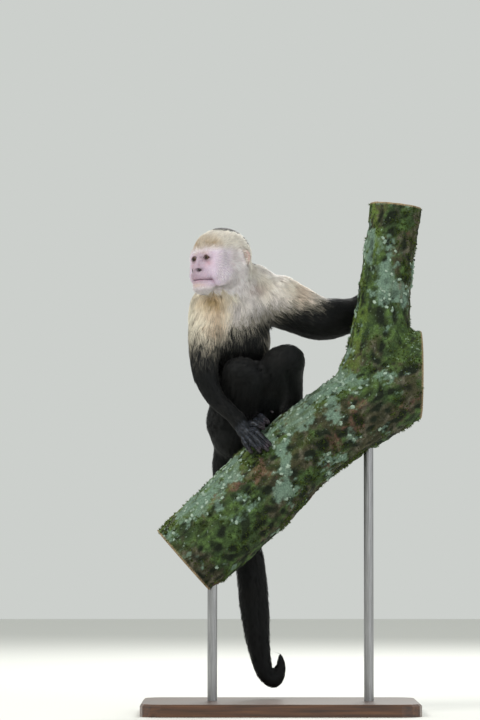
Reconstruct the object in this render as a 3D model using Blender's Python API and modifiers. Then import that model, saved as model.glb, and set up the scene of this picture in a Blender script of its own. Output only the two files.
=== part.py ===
"""White-faced capuchin monkey, life size, squatting on a cut length of forked limb on a plain stand.

Units are metres, +Z is up, the viewer looks along +Y and +X is to the viewer's right. The origin is the
centre of the underside of the stand's base. Places that are easier to read in millimetres go through mm().
Every flesh form is clay: overlapping ellipsoids and tapered tubes, fused by a voxel remesh, then smoothed,
thinned to a budget of triangles and parted at the joints by flat cuts.
"""

import math

import bmesh
import bpy
from mathutils import Matrix, Vector

MM = 0.001
GAP, SEAT_GAP = 0.3 * MM, 0.9 * MM

# Stand
BASE_LENGTH, BASE_DEPTH, BASE_THICKNESS = 0.400, 0.240, 0.018
BASE_CORNER, BASE_ROUND = 0.030, 0.003
ROD_RADIUS, ROD_SINK = 0.007, 0.012
ROD_PLACES = ((-0.098, 0.198), (0.128, 0.396))

# Perch: the limb climbs to the viewer's right, and the stem rises from its fork.
LIMB_LINE = ((-157, 0, 204), (-116, 0, 240), (-43, 0, 307), (29, 0, 378), (87, 0, 421), (145, 0, 457),
             (208, 0, 497))
LIMB_RADII = (58, 62, 64, 60, 60, 61, 57)
STEM_LINE = ((128, 0, 455), (141, 0, 510), (147, 0, 560), (152, 0, 612), (158, 0, 655), (165, 0, 705),
             (175, 0, 770))
STEM_RADII = (58, 50, 43, 40, 39, 39, 40)
PERCH_BUDGET = 720
KNOTS = (((92, -8, 440), (46, 52, 44)),)
SAW_CUTS = (((-140, 0, 219), (-0.75, 0, -0.66)), ((206, 0, 490), (1, 0, 0)), ((169, 0, 736), (0.12, 0, 1)))

# Trunk parting: a place in millimetres and the axis that points to the part named second
WAIST, WAIST_AXIS = (-60, 30, 486), (0, -0.25, 1)
COLLAR, COLLAR_AXIS = (-62, 8, 612), (-0.25, -0.15, 1)

# Limb lines in millimetres, from the trunk outwards, with the radius of the furred limb at each place
ARM_R = ((-104, 4, 580), (-108, -8, 536), (-108, -20, 496), (-94, -24, 458), (-68, -27, 430))
ARM_R_RADII = (30, 27, 21.5, 17, 13)
ARM_L = ((-4, 28, 599), (26, 36, 586), (58, 44, 573), (90, 53, 576), (114, 59, 582), (134, 63, 604),
         (144, 61, 624))
ARM_L_RADII = (40, 37, 33.5, 30, 25, 18, 13)
ELBOWS = {"right": ((-108, -8, 536), (-108, -20, 496), (-94, -24, 458)),
          "left": ((90, 53, 574), (116, 59, 582), (134, 63, 604))}
LEG_L = ((-30, 44, 430), (-12, 8, 474), (8, -30, 512), (15, 8, 486), (22, 50, 448))
LEG_L_RADII = (35, 29, 22, 20, 14)
LEG_R = ((-76, 48, 420), (-67, 12, 458), (-52, -24, 494), (-42, 10, 448), (-38, 52, 404))
LEG_R_RADII = (33, 31, 22, 19, 14)
TAIL = ((-70, 68, 392), (-76, 86, 356), (-62, 93, 290), (-45, 89, 225), (-37, 85, 154), (-33, 82, 112),
        (-28, 79, 78), (-20, 77, 52), (-7, 77, 43), (1, 77, 56), (2, 77, 70), (1, 77, 84))
TAIL_RADII = (27, 25.5, 24, 24, 24, 21.5, 16.5, 13.5, 11.5, 9.5, 7.5, 3.5)
TAIL_CUTS = (((-68, 90, 322), (0.2, 0.05, -1)), ((-46, 90, 226), (0.2, -0.05, -1)),
             ((-30, 82, 126), (0.15, 0, -1)))

# Grips
GRIP_RADIUS, STEM_GRIP_RADIUS, DIGIT_ARCH = 62, 40, 3.5
STEM_FOOT, STEM_LEAN = 78.6, 0.12

# Head: its own frame is forward, left, up, from the middle of the head at eye height.
HEAD_PLACE = (-87, -10, 653.8)
HEAD_YAW, HEAD_PITCH, HEAD_ROLL = math.radians(45), math.radians(-2), math.radians(3)
EYE_APART, EYE_FORWARD, EYE_RADIUS = 25.5, 32.6, 8.2
EAR_FORWARD, EAR_OUT, EAR_UP = -9, 38, 0


def mm(x, y, z):
    """A place given in millimetres, in metres."""
    return Vector((x, y, z)) * MM


def turned(degrees):
    """A turn by degrees about forward, left and up, forward first."""
    about = [Matrix.Rotation(math.radians(angle), 4, axis) for angle, axis in zip(degrees, "XYZ")]
    return about[2] @ about[1] @ about[0]


def clear_scene():
    """Removes whatever the scene holds."""
    for obj in list(bpy.data.objects):
        bpy.data.objects.remove(obj)


def collection(name):
    """A new collection under the scene's own."""
    made = bpy.data.collections.new(name)
    bpy.context.scene.collection.children.link(made)
    return made


def material(name, colour, roughness, metallic=0.0):
    """A Principled material of one colour."""
    made = bpy.data.materials.new(name)
    made.use_nodes = True
    shader = made.node_tree.nodes["Principled BSDF"]
    shader.inputs["Base Color"].default_value = (*colour, 1.0)
    shader.inputs["Roughness"].default_value = roughness
    shader.inputs["Metallic"].default_value = metallic
    made.diffuse_color = (*colour, 1.0)
    return made


def object_of(mesh, name, home):
    """A new object that holds the mesh, in the collection home."""
    made = bpy.data.objects.new(name, mesh)
    home.objects.link(made)
    return made


def evaluated_mesh(obj):
    """The object's mesh with its modifiers applied, in world space; the object is removed."""
    bpy.context.view_layer.update()
    graph = bpy.context.evaluated_depsgraph_get()
    mesh = bpy.data.meshes.new_from_object(obj.evaluated_get(graph), depsgraph=graph)
    mesh.transform(obj.matrix_world)
    bpy.data.objects.remove(obj)
    return mesh


class Clay:
    """Overlapping closed shells that are fused into one form."""

    def __init__(self, frame=None):
        self.shells = bmesh.new()
        self.frame = frame or Matrix.Identity(4)

    def ball(self, place, radii, turn=(0, 0, 0)):
        """An ellipsoid: place and radii in millimetres, turned by degrees about forward, left and up."""
        size = Matrix.Diagonal((*mm(*radii), 1))
        matrix = self.frame @ Matrix.Translation(mm(*place)) @ turned(turn) @ size
        bmesh.ops.create_uvsphere(self.shells, u_segments=24, v_segments=14, radius=1, matrix=matrix)

    def pair(self, place, radii, turn=(0, 0, 0)):
        """Two mirrored ellipsoids, on the left and on the right of the frame's middle plane."""
        self.ball(place, radii, turn)
        self.ball((place[0], -place[1], place[2]), radii, (-turn[0], turn[1], -turn[2]))

    def tube(self, places, radii):
        """A tapered tube with round ends along a smooth line: places and radii in millimetres."""
        curve = bpy.data.curves.new("clay", "CURVE")
        curve.dimensions = "3D"
        curve.bevel_depth, curve.bevel_resolution, curve.resolution_u = 1.0, 4, 8
        curve.use_fill_caps = True
        spline = curve.splines.new("BEZIER")
        spline.bezier_points.add(len(places) - 1)
        for knot, place, radius in zip(spline.bezier_points, places, radii):
            knot.co, knot.radius = self.frame @ mm(*place), radius * MM
            knot.handle_left_type = knot.handle_right_type = "AUTO"
        mesh = evaluated_mesh(object_of(curve, "clay", bpy.context.scene.collection))
        self.shells.from_mesh(mesh)
        bpy.data.meshes.remove(mesh)
        for place, radius in ((places[0], radii[0]), (places[-1], radii[-1])):
            self.ball(place, (radius * 0.99,) * 3)

    def fused(self, voxel, smoothing, budget):
        """The clay as one closed mesh of about budget triangles, remeshed at voxel millimetres."""
        bmesh.ops.remove_doubles(self.shells, verts=self.shells.verts, dist=1e-6)
        mesh = bpy.data.meshes.new("clay")
        self.shells.to_mesh(mesh)
        self.shells.free()
        obj = object_of(mesh, "clay", bpy.context.scene.collection)
        remesh = obj.modifiers.new("fuse", "REMESH")
        remesh.mode, remesh.voxel_size = "VOXEL", voxel * MM
        smooth = obj.modifiers.new("smooth", "SMOOTH")
        smooth.factor, smooth.iterations = 0.5, smoothing
        return thinned(evaluated_mesh(obj), budget)


def thinned(mesh, budget):
    """The mesh with its edges collapsed until it has about budget triangles."""
    obj = object_of(mesh, "thin", bpy.context.scene.collection)
    thin = obj.modifiers.new("thin", "DECIMATE")
    mesh.calc_loop_triangles()
    thin.ratio = min(1.0, budget / len(mesh.loop_triangles))
    thin.use_collapse_triangulate = True
    return evaluated_mesh(obj)


def parted(mesh, place, normal):
    """The two sides of a closed mesh cut by a plane, each capped and held half a gap back from it."""
    sides = []
    for way in (-1, 1):
        work = bmesh.new()
        work.from_mesh(mesh)
        origin = place + normal.normalized() * way * GAP / 2
        cut = bmesh.ops.bisect_plane(
            work, geom=work.verts[:] + work.edges[:] + work.faces[:], dist=1e-7, plane_co=origin,
            plane_no=normal * -way, clear_outer=True)
        edges = [item for item in cut["geom_cut"] if isinstance(item, bmesh.types.BMEdge)]
        bmesh.ops.triangle_fill(work, edges=edges, use_beauty=True, use_dissolve=False)
        bmesh.ops.recalc_face_normals(work, faces=work.faces)
        side = bpy.data.meshes.new("side")
        work.to_mesh(side)
        work.free()
        sides.append(side)
    return sides


def grown(mesh, name, home, by):
    """A hidden cutter: the mesh pushed out along its normals by a distance."""
    copy = mesh.copy()
    copy.transform(Matrix.Identity(4))
    push = [v.co + v.normal * by for v in copy.vertices]
    for vertex, place in zip(copy.vertices, push):
        vertex.co = place
    cutter = object_of(copy, name, home)
    cutter.hide_render = True
    cutter.display_type = "WIRE"
    return cutter


def boxes_meet(first, second):
    """True where the two meshes' boxes overlap, or all but touch."""
    for axis in range(3):
        one = [v.co[axis] for v in first.vertices]
        two = [v.co[axis] for v in second.vertices]
        if min(one) > max(two) + GAP or min(two) > max(one) + GAP:
            return False
    return True


def bend_plane(before, joint, after):
    """The plane that halves a bent joint: a place in metres and the axis towards the far bone."""
    near, far = (mm(*joint) - mm(*before)).normalized(), (mm(*after) - mm(*joint)).normalized()
    return mm(*joint), (near + far).normalized()


def largest_piece(mesh):
    """The mesh without the crumbs that a cut has left beside its main body."""
    work = bmesh.new()
    work.from_mesh(mesh)
    work.verts.ensure_lookup_table()
    left, islands = set(work.verts), []
    while left:
        stack, island = [left.pop()], []
        while stack:
            vertex = stack.pop()
            island.append(vertex)
            for edge in vertex.link_edges:
                other = edge.other_vert(vertex)
                if other in left:
                    left.remove(other)
                    stack.append(other)
        islands.append(island)
    islands.sort(key=len)
    for island in islands[:-1]:
        bmesh.ops.delete(work, geom=island, context="VERTS")
    if work.calc_volume(signed=True) < 0:
        bmesh.ops.reverse_faces(work, faces=work.faces)
    work.to_mesh(mesh)
    work.free()
    return mesh


class Builder:
    """Places finished meshes as named objects and cuts each clear of those placed before it."""

    def __init__(self):
        self.home = collection("capuchin")
        self.cutters = collection("cutters")
        self.placed = {}

    def named(self, *starts):
        """The names of the objects placed so far that begin with any of the given words."""
        return [name for name in self.placed if name.startswith(starts)]

    def fitted(self, mesh, clear_of, budget=None):
        """The mesh seated against the objects named in clear_of, in about budget triangles."""
        if not budget:
            return self.cut_clear(mesh, clear_of, GAP)
        return self.cut_clear(thinned(self.cut_clear(mesh, clear_of, SEAT_GAP), budget), clear_of, GAP)

    def cut_clear(self, mesh, clear_of, by):
        """The mesh less the objects named in clear_of, each grown by a distance."""
        obj = object_of(mesh, "fitted", self.home)
        for other in clear_of:
            if not boxes_meet(mesh, self.placed[other]):
                continue
            cut = obj.modifiers.new("clear_" + other, "BOOLEAN")
            cut.operation, cut.solver = "DIFFERENCE", "EXACT"
            cut.object = grown(self.placed[other], "cutter_" + other, self.cutters, by)
        return largest_piece(evaluated_mesh(obj))

    def place(self, name, mesh, finish, clear_of=(), budget=None):
        """Adds the mesh as an object, less the objects named in clear_of."""
        if clear_of:
            mesh = self.fitted(mesh, clear_of, budget)
        obj = object_of(mesh, name, self.home)
        mesh.materials.clear()
        mesh.materials.append(finish)
        mesh.shade_smooth()
        mesh.set_sharp_from_angle(angle=math.radians(40))
        self.placed[name] = mesh
        return obj


def limb_point(along, around, lift):
    """A place on the limb's bark in millimetres: along its axis, degrees towards the viewer, and out."""
    first, last = LIMB_LINE[2], LIMB_LINE[3]
    slope = math.atan2(last[2] - first[2], last[0] - first[0])
    reach, turn = GRIP_RADIUS + lift, math.radians(around)
    x = first[0] + along * math.cos(slope) - reach * math.cos(turn) * math.sin(slope)
    z = first[2] + along * math.sin(slope) + reach * math.cos(turn) * math.cos(slope)
    return (x, -reach * math.sin(turn), z)


def stem_point(height, around, lift):
    """A place on the stem's bark in millimetres: height, degrees from its far side rightwards, and out."""
    reach, turn = STEM_GRIP_RADIUS + lift, math.radians(around)
    return (STEM_FOOT + height * STEM_LEAN + reach * math.sin(turn), reach * math.cos(turn), height)


def head_frame():
    """The head's axes, forward, left and up, at its place."""
    forward = Vector((-math.sin(HEAD_YAW), -math.cos(HEAD_YAW), 0))
    left = Vector((math.cos(HEAD_YAW), -math.sin(HEAD_YAW), 0))
    axes = Matrix((forward, left, Vector((0, 0, 1)))).transposed().to_4x4()
    tilt = Matrix.Rotation(HEAD_PITCH, 4, "Y") @ Matrix.Rotation(HEAD_ROLL, 4, "X")
    return Matrix.Translation(mm(*HEAD_PLACE)) @ axes @ tilt


def head_clay():
    """Cranium, face, jaw and cheek ruff in the head's own frame."""
    clay = Clay(head_frame())
    clay.ball((-5, 0, 8), (49, 39, 42))
    clay.ball((13, 0, 9), (30, 33, 32))
    clay.pair((19, 17, -11), (20, 17, 23))
    clay.ball((26, 0, -20), (24, 19, 17))
    clay.ball((37, 0, -26), (17, 16.5, 10.5))
    clay.ball((36, 0, -34.5), (14, 14, 8.5))
    clay.ball((25, 0, -36), (22, 17, 12))
    clay.pair((8, 22, -24), (24, 17, 21))
    clay.pair((-12, 24, -16), (26, 18, 26))
    clay.pair((31, 12, 8.5), (9.5, 12.5, 5.5), (0, 0, -18))
    clay.ball((36, 0, 8), (7, 9, 6))
    clay.pair((34, EYE_APART / 2, 5.6), (7, 9, 3.2), (0, 0, -14))
    clay.pair((33, EYE_APART / 2 + 0.5, -6.2), (6.5, 9, 3.4), (0, 0, -14))
    clay.pair((30, 21, -9), (8.5, 9, 7))
    clay.pair((24, 25, 3), (11, 10, 18))
    clay.pair((27, 21.5, -20), (11, 10, 12))
    clay.ball((33, 0, -42), (16, 16, 10.5))
    clay.tube(((38, 0, 4), (43, 0, -4), (48, 0, -12), (50.5, 0, -17)), (3.8, 4.0, 4.4, 4.6))
    clay.pair((47.5, 5.8, -16.5), (5.0, 4.2, 3.8))
    return clay


def eye_place(side):
    """The centre of an eye, side 1 for the left one and -1 for the right."""
    return head_frame() @ mm(EYE_FORWARD, side * EYE_APART / 2, 0)


def ear_mesh(side):
    """A shallow dished shell, standing out and back from the side of the head."""
    clay = Clay(head_frame())
    place = (EAR_FORWARD, side * EAR_OUT, EAR_UP)
    turn = (side * -12, -8, side * -52)
    clay.ball(place, (12.5, 3.4, 15.5), turn)
    shell = clay.fused(0.9, 2, 700)
    dish = bmesh.new()
    hollow = head_frame() @ Matrix.Translation(mm(*place)) @ turned(turn)
    hollow = hollow @ Matrix.Translation(mm(2, side * 3.4, 0))
    bmesh.ops.create_uvsphere(
        dish, u_segments=20, v_segments=12, radius=1, matrix=hollow @ Matrix.Diagonal((*mm(9, 3.8, 12), 1)))
    cutter_mesh = bpy.data.meshes.new("dish")
    dish.to_mesh(cutter_mesh)
    dish.free()
    cutter = object_of(cutter_mesh, "ear_dish", bpy.context.scene.collection)
    ear = object_of(shell, "ear", bpy.context.scene.collection)
    cut = ear.modifiers.new("dish", "BOOLEAN")
    cut.operation, cut.object, cut.solver = "DIFFERENCE", cutter, "EXACT"
    mesh = evaluated_mesh(ear)
    bpy.data.objects.remove(cutter)
    return thinned(mesh, 170)


def trunk_clay():
    """Rump, belly, chest, shoulders and neck as one form."""
    clay = Clay()
    clay.ball((-62, 52, 410), (42, 38, 46))
    clay.ball((-72, 72, 392), (27, 27, 30))
    clay.ball((-60, 42, 450), (43, 40, 46))
    clay.ball((-61, 30, 500), (44, 43, 48))
    clay.ball((-62, 22, 540), (51, 46, 48))
    clay.ball((-62, 20, 582), (56, 43, 38), (0, -6, 0))
    clay.ball((-22, 25, 606), (37, 33, 38))
    clay.ball((-90, 9, 584), (30, 30, 32))
    clay.ball((-112, 2, 592), (21, 24, 26))
    clay.ball((-42, 22, 622), (37, 34, 33))
    clay.ball((-66, 6, 616), (40, 36, 30))
    clay.ball((-70, 2, 636), (34, 32, 28))
    clay.ball((-36, 12, 524), (22, 24, 36))
    return clay


def limb_clay(joints, radii):
    """A tapered limb along its joints."""
    clay = Clay()
    clay.tube(joints, radii)
    return clay


def hand_clay(palm, palm_radii, digits):
    """A palm or sole and its digits: each digit is a line of places and its radii."""
    clay = Clay()
    clay.tube(palm, palm_radii)
    for line, radii in digits:
        clay.tube(line, radii)
    return clay


def grip_digits(point, tips, knuckles, radius):
    """Digits bent round a branch, each from its knuckle to its tip: places as along, around and lift."""
    digits = []
    for knuckle, tip in zip(knuckles, tips):
        middle = [(a + b) / 2 for a, b in zip(knuckle, tip)]
        middle[2] += DIGIT_ARCH
        line = (point(*knuckle), point(*middle), point(*tip))
        digits.append((line, (radius * 1.12, radius, radius * 0.82)))
    return digits


def right_hand():
    """The hand laid over the near side of the limb, its thumb towards the body."""
    knuckles = [(along, 27, 15) for along in (54, 61, 68, 75)]
    tips = [(49, 44, 4.5), (58, 54, 4.5), (67, 60, 4.5), (76, 57, 4.5)]
    digits = grip_digits(limb_point, tips, knuckles, 4.4)
    digits += grip_digits(limb_point, [(86, 27, 5)], [(76, 12, 21)], 4.6)
    palm = ((-68, -27, 430), (-59, -29, 419), limb_point(64, 21, 20), limb_point(65, 27, 15))
    return hand_clay(palm, (11, 10.5, 12, 9), digits)


def left_hand():
    """The hand laid round the far side of the stem, its fingers to the right."""
    knuckles = [(height, 4, 10) for height in (636, 644, 652, 660)]
    tips = [(638, 50, 5), (648, 55, 5), (658, 54, 5), (667, 48, 5)]
    digits = grip_digits(stem_point, tips, knuckles, 4.4)
    digits += grip_digits(stem_point, [(680, -28, 5)], [(660, -18, 12)], 4.6)
    palm = (stem_point(628, -26, 18), stem_point(640, -16, 14), stem_point(648, -2, 11))
    return hand_clay(palm, (11, 12.5, 10), digits)


def foot(heel, middle, ball, spread, reach):
    """A foot over the top of the limb, its toes towards the viewer: places as along, around and lift."""
    knuckles = [(ball[0] + shift, ball[1], ball[2]) for shift in spread]
    tips = [(ball[0] + shift * 1.25, ball[1] + turn, 5) for shift, turn in zip(spread, reach)]
    digits = grip_digits(limb_point, tips, knuckles, 4.9)
    sole = (limb_point(*heel), limb_point(*middle), limb_point(*ball))
    return hand_clay(sole, (12.5, 13, 11.5), digits)


def right_foot():
    """The right foot, its big toe apart from the rest and nearest to the left foot."""
    return foot((66, -58, 15), (80, -30, 15), (92, -8, 16), (-12, -4, 4, 16), (26, 31, 30, 19))


def left_foot():
    """The left foot, higher on the limb, its big toe nearest to the right foot."""
    return foot((122, -52, 15), (128, -28, 15), (133, -8, 15), (-14, -4, 4, 12), (20, 29, 31, 26))


def cut_flat(mesh, place, normal):
    """The mesh with what lies beyond a plane sawn off and the cut closed."""
    return parted(mesh, mm(*place), Vector(normal))[0]


def perch_mesh():
    """The forked limb, sawn square at both ends and at the top of its stem."""
    clay = Clay()
    clay.tube(LIMB_LINE, LIMB_RADII)
    clay.tube(STEM_LINE, STEM_RADII)
    for place, radii in KNOTS:
        clay.ball(place, radii)
    mesh = clay.fused(5, 4, PERCH_BUDGET)
    for place, normal in SAW_CUTS:
        mesh = cut_flat(mesh, place, normal)
    return mesh


def stand_base_mesh():
    """A flat slab with rounded corners and eased edges, its underside at height zero."""
    work = bmesh.new()
    size = Matrix.Diagonal((BASE_LENGTH, BASE_DEPTH, BASE_THICKNESS, 1))
    bmesh.ops.create_cube(work, size=1, matrix=Matrix.Translation((0, 0, BASE_THICKNESS / 2)) @ size)
    upright = [e for e in work.edges if abs(e.verts[0].co.z - e.verts[1].co.z) > BASE_THICKNESS / 2]
    bmesh.ops.bevel(work, geom=upright, offset=BASE_CORNER, segments=3, affect="EDGES", profile=0.5)
    rim = [e for e in work.edges if all(v.co.z > BASE_THICKNESS * 0.9 for v in e.verts)]
    bmesh.ops.bevel(work, geom=rim, offset=BASE_ROUND, segments=1, affect="EDGES", profile=0.5)
    mesh = bpy.data.meshes.new("base")
    work.to_mesh(mesh)
    work.free()
    return mesh


def rod_mesh(x, top, radius=ROD_RADIUS, foot_height=BASE_THICKNESS - ROD_SINK):
    """An upright round rod from inside the base to the given top."""
    work = bmesh.new()
    depth = top - foot_height
    place = Matrix.Translation((x, 0, foot_height + depth / 2))
    bmesh.ops.create_cone(
        work, cap_ends=True, segments=16, radius1=radius, radius2=radius, depth=depth, matrix=place)
    mesh = bpy.data.meshes.new("rod")
    work.to_mesh(mesh)
    work.free()
    return mesh


def ball_mesh(place, radius, segments, rings):
    """A sphere at a place in metres."""
    work = bmesh.new()
    bmesh.ops.create_uvsphere(
        work, u_segments=segments, v_segments=rings, radius=radius, matrix=Matrix.Translation(place))
    mesh = bpy.data.meshes.new("ball")
    work.to_mesh(mesh)
    work.free()
    return mesh


def main():
    """Builds every piece in order, each clear of those before it."""
    clear_scene()
    build = Builder()
    black = material("black_coat", (0.016, 0.015, 0.017), 0.7)
    cream = material("cream_coat", (0.72, 0.62, 0.46), 0.8)
    face = material("bare_face", (0.66, 0.47, 0.46), 0.55)
    dark_skin = material("dark_skin", (0.09, 0.07, 0.08), 0.6)
    eye = material("eye", (0.03, 0.015, 0.01), 0.08)
    bark = material("mossy_bark", (0.17, 0.17, 0.10), 0.9)
    wood = material("base_wood", (0.32, 0.22, 0.14), 0.5)
    steel = material("rod_steel", (0.45, 0.45, 0.46), 0.35, 1.0)

    rods = {}
    for side, (x, top) in zip(("left", "right"), ROD_PLACES):
        rods[side] = build.place("stand_rod_" + side, rod_mesh(x, top), steel)
    build.place("stand_base", stand_base_mesh(), wood, ("stand_rod_left", "stand_rod_right"))
    build.place("perch", perch_mesh(), bark, ("stand_rod_left", "stand_rod_right"))

    for side, sign in (("left", 1), ("right", -1)):
        build.place("eye_" + side, ball_mesh(eye_place(sign), EYE_RADIUS * MM, 12, 8), eye)
    build.place("head", head_clay().fused(1.2, 6, 1380), face, ("eye_left", "eye_right"))
    for side, sign in (("left", 1), ("right", -1)):
        build.place("ear_" + side, ear_mesh(sign), face, ("head",))

    trunk = build.fitted(trunk_clay().fused(3, 8, 1300), ("perch", "head", "ear_left", "ear_right"), 1250)
    lower, upper = parted(trunk, mm(*WAIST), Vector(WAIST_AXIS))
    chest, neck = parted(upper, mm(*COLLAR), Vector(COLLAR_AXIS))
    build.place("neck", largest_piece(neck), cream)
    build.place("chest", largest_piece(chest), cream)
    build.place("belly", largest_piece(lower), black)
    body = ("neck", "chest", "belly", "perch", "head")

    tail = limb_clay(TAIL, TAIL_RADII).fused(2.5, 6, 480)
    tail = build.fitted(tail, ("belly", "perch", "stand_base"), 480)
    for number, (place, axis) in enumerate(TAIL_CUTS, 1):
        length, tail = parted(tail, mm(*place), Vector(axis))
        build.place(f"tail_{number}", largest_piece(length), black)
    build.place(f"tail_{len(TAIL_CUTS) + 1}", largest_piece(tail), black)

    legs = (("left", LEG_L, LEG_L_RADII, left_foot), ("right", LEG_R, LEG_R_RADII, right_foot))
    for side, joints, radii, shape in legs:
        others = (*body, *build.named("tail", "thigh", "shin"))
        leg = build.fitted(limb_clay(joints, radii).fused(2.5, 6, 400), others, 420)
        thigh, shin = parted(leg, *bend_plane(joints[1], joints[2], joints[3]))
        build.place("thigh_" + side, largest_piece(thigh), black)
        build.place("shin_" + side, largest_piece(shin), black)
        others = (*body, *build.named("tail", "thigh", "shin", "foot"))
        build.place("foot_" + side, shape().fused(1.3, 3, 460), dark_skin, others, 460)

    arms = (("left", ARM_L, ARM_L_RADII, left_hand), ("right", ARM_R, ARM_R_RADII, right_hand))
    for side, joints, radii, shape in arms:
        others = (*body, *build.named("thigh", "shin", "foot"))
        arm = build.fitted(limb_clay(joints, radii).fused(2.5, 6, 400), others, 420)
        upper, fore = parted(arm, *bend_plane(*ELBOWS[side]))
        build.place("upper_arm_" + side, largest_piece(upper), cream)
        build.place("forearm_" + side, largest_piece(fore), black)
        others = (*body, *build.named("thigh", "shin", "foot", "upper_arm", "forearm"))
        build.place("hand_" + side, shape().fused(1.2, 3, 410), dark_skin, others, 410)


if __name__ == "__main__":
    main()
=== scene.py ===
"""Looks of a life-size white-faced capuchin squatting on a cut length of forked limb.

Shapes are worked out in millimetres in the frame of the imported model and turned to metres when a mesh
is made. The monkey's flesh becomes one skin, the coat is solid tufts rooted on that skin, and the perch
gets bark, moss and lichen. The head has its own axes: forward, left and up, from between the eyes.
"""

import logging
import math
from dataclasses import dataclass, field
from enum import Enum
from typing import Callable, Sequence

import bmesh
import bpy
import numpy as np
from mathutils import Matrix, Vector, noise
from mathutils.bvhtree import BVHTree
from mathutils.kdtree import KDTree


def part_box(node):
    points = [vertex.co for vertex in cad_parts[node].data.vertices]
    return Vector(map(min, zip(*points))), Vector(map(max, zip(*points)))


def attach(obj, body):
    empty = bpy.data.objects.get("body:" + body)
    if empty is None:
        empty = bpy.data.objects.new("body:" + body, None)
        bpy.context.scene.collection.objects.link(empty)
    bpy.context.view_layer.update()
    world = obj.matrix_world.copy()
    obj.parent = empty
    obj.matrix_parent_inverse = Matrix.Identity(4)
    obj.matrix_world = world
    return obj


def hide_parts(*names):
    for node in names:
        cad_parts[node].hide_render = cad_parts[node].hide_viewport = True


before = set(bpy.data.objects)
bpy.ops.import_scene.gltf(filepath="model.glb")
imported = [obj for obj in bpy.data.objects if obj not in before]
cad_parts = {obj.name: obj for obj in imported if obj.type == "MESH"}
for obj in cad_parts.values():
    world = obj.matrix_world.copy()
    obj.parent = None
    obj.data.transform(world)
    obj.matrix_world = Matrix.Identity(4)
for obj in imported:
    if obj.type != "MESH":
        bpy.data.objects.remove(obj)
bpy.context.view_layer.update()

MM = 0.001
Array, Mesh, Object, Material, Socket = (
    np.ndarray, bpy.types.Mesh, bpy.types.Object, bpy.types.Material, bpy.types.NodeSocket)
Place = tuple[float, float, float]
Colour = tuple[float, float, float]

log = logging.getLogger("capuchin")


def linear(red: int, green: int, blue: int) -> Colour:
    """A colour given as 0 to 255 on a screen, as linear light."""
    return tuple(
        ((c / 255 + 0.055) / 1.055) ** 2.4 if c > 10 else c / 255 / 12.92 for c in (red, green, blue))


def ease(low: float, high: float, values: Array) -> Array:
    """Smooth step of values from 0 at low to 1 at high."""
    t = np.clip((values - low) / (high - low), 0, 1)
    return t * t * (3 - 2 * t)


def bell(values: Array, middle: float | Array, reach: float) -> Array:
    """1 where values are at the middle, falling smoothly to 0 on both sides of it."""
    return np.exp(-(((values - middle) / reach) ** 2))


def unit(vectors: Array) -> Array:
    """The vectors scaled to length one."""
    return vectors / np.maximum(np.linalg.norm(vectors, axis=1, keepdims=True), 1e-9)


def noise_places(points: Array, size: float, seed: int) -> list[Vector]:
    """Where to read noise with blobs of a size; the seed shifts its pattern."""
    shift = Vector((seed * 17.3, seed * -9.1, seed * 5.7))
    return [Vector(place) + shift for place in (points / size).tolist()]


def wander(points: Array, size: float, seed: int) -> Array:
    """Smooth noise from -1 to 1 at points in millimetres, in blobs of a size in millimetres."""
    return np.array([noise.noise(place) for place in noise_places(points, size, seed)])


def mottle(points: Array, size: float, seed: int) -> Array:
    """Rough noise, about -1 to 1, in blobs of a size with ever finer ones over them."""
    return np.array([noise.fractal(place, 0.55, 2.1, 5) for place in noise_places(points, size, seed)])


def closest(tree: BVHTree, points: Array) -> tuple[Array, Array, Array]:
    """The places on a surface nearest to points, its facings there and its faces' numbers."""
    found = [tree.find_nearest(point) for point in points.tolist()]
    return tuple(np.array([row[column] for row in found]) for column in range(3))


def laid(under: Array, over: Array, weight: Array) -> Array:
    """Rows with others laid over them.

    Args:
        under: The rows beneath.
        over: The rows laid over them, or one row for all.
        weight: How far each is covered, from 0 to 1.

    Returns:
        The mixed rows.
    """
    share = np.clip(weight, 0, 1)[:, None]
    return under * (1 - share) + np.asarray(over) * share


def new_mesh(points: Array, faces: Array, name: str) -> Mesh:
    """A mesh from places in millimetres and faces of one size.

    Args:
        points: Vertex places in millimetres.
        faces: Vertex numbers, one face per row.
        name: Name of the mesh.

    Returns:
        The mesh, in metres.
    """
    mesh = bpy.data.meshes.new(name)
    count, sides = faces.shape
    mesh.vertices.add(len(points))
    mesh.vertices.foreach_set("co", (points * MM).astype(np.float32).ravel())
    mesh.loops.add(count * sides)
    mesh.loops.foreach_set("vertex_index", faces.astype(np.int32).ravel())
    mesh.polygons.add(count)
    mesh.polygons.foreach_set("loop_start", np.arange(0, count * sides, sides, dtype=np.int32))
    mesh.update(calc_edges=True)
    return mesh


def mesh_from(work: bmesh.types.BMesh, name: str) -> Mesh:
    """A mesh made from the working one, which is freed."""
    mesh = bpy.data.meshes.new(name)
    work.to_mesh(mesh)
    work.free()
    return mesh


def new_object(data: bpy.types.ID, name: str) -> Object:
    """An object that holds a mesh, a light or a camera, linked to the scene."""
    made = bpy.data.objects.new(name, data)
    bpy.context.scene.collection.objects.link(made)
    return made


def baked(made: Object) -> Mesh:
    """The object's mesh with its modifiers applied; the object is removed."""
    graph = bpy.context.evaluated_depsgraph_get()
    mesh = bpy.data.meshes.new_from_object(made.evaluated_get(graph), depsgraph=graph)
    bpy.data.objects.remove(made)
    return mesh


def read(items: Sequence, key: str, width: int, kind: type) -> Array:
    """A property of a mesh's vertices, edges or faces.

    Args:
        items: The vertices, edges or faces.
        key: Name of the property.
        width: How many numbers it has for each of them.
        kind: The numbers' type.

    Returns:
        One row of numbers for each.
    """
    flat = np.empty(len(items) * width, dtype=kind)
    items.foreach_get(key, flat)
    return flat.reshape(-1, width)


def points_of(mesh: Mesh) -> Array:
    """Vertex places in millimetres."""
    return read(mesh.vertices, "co", 3, np.float32).astype(float) / MM


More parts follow.
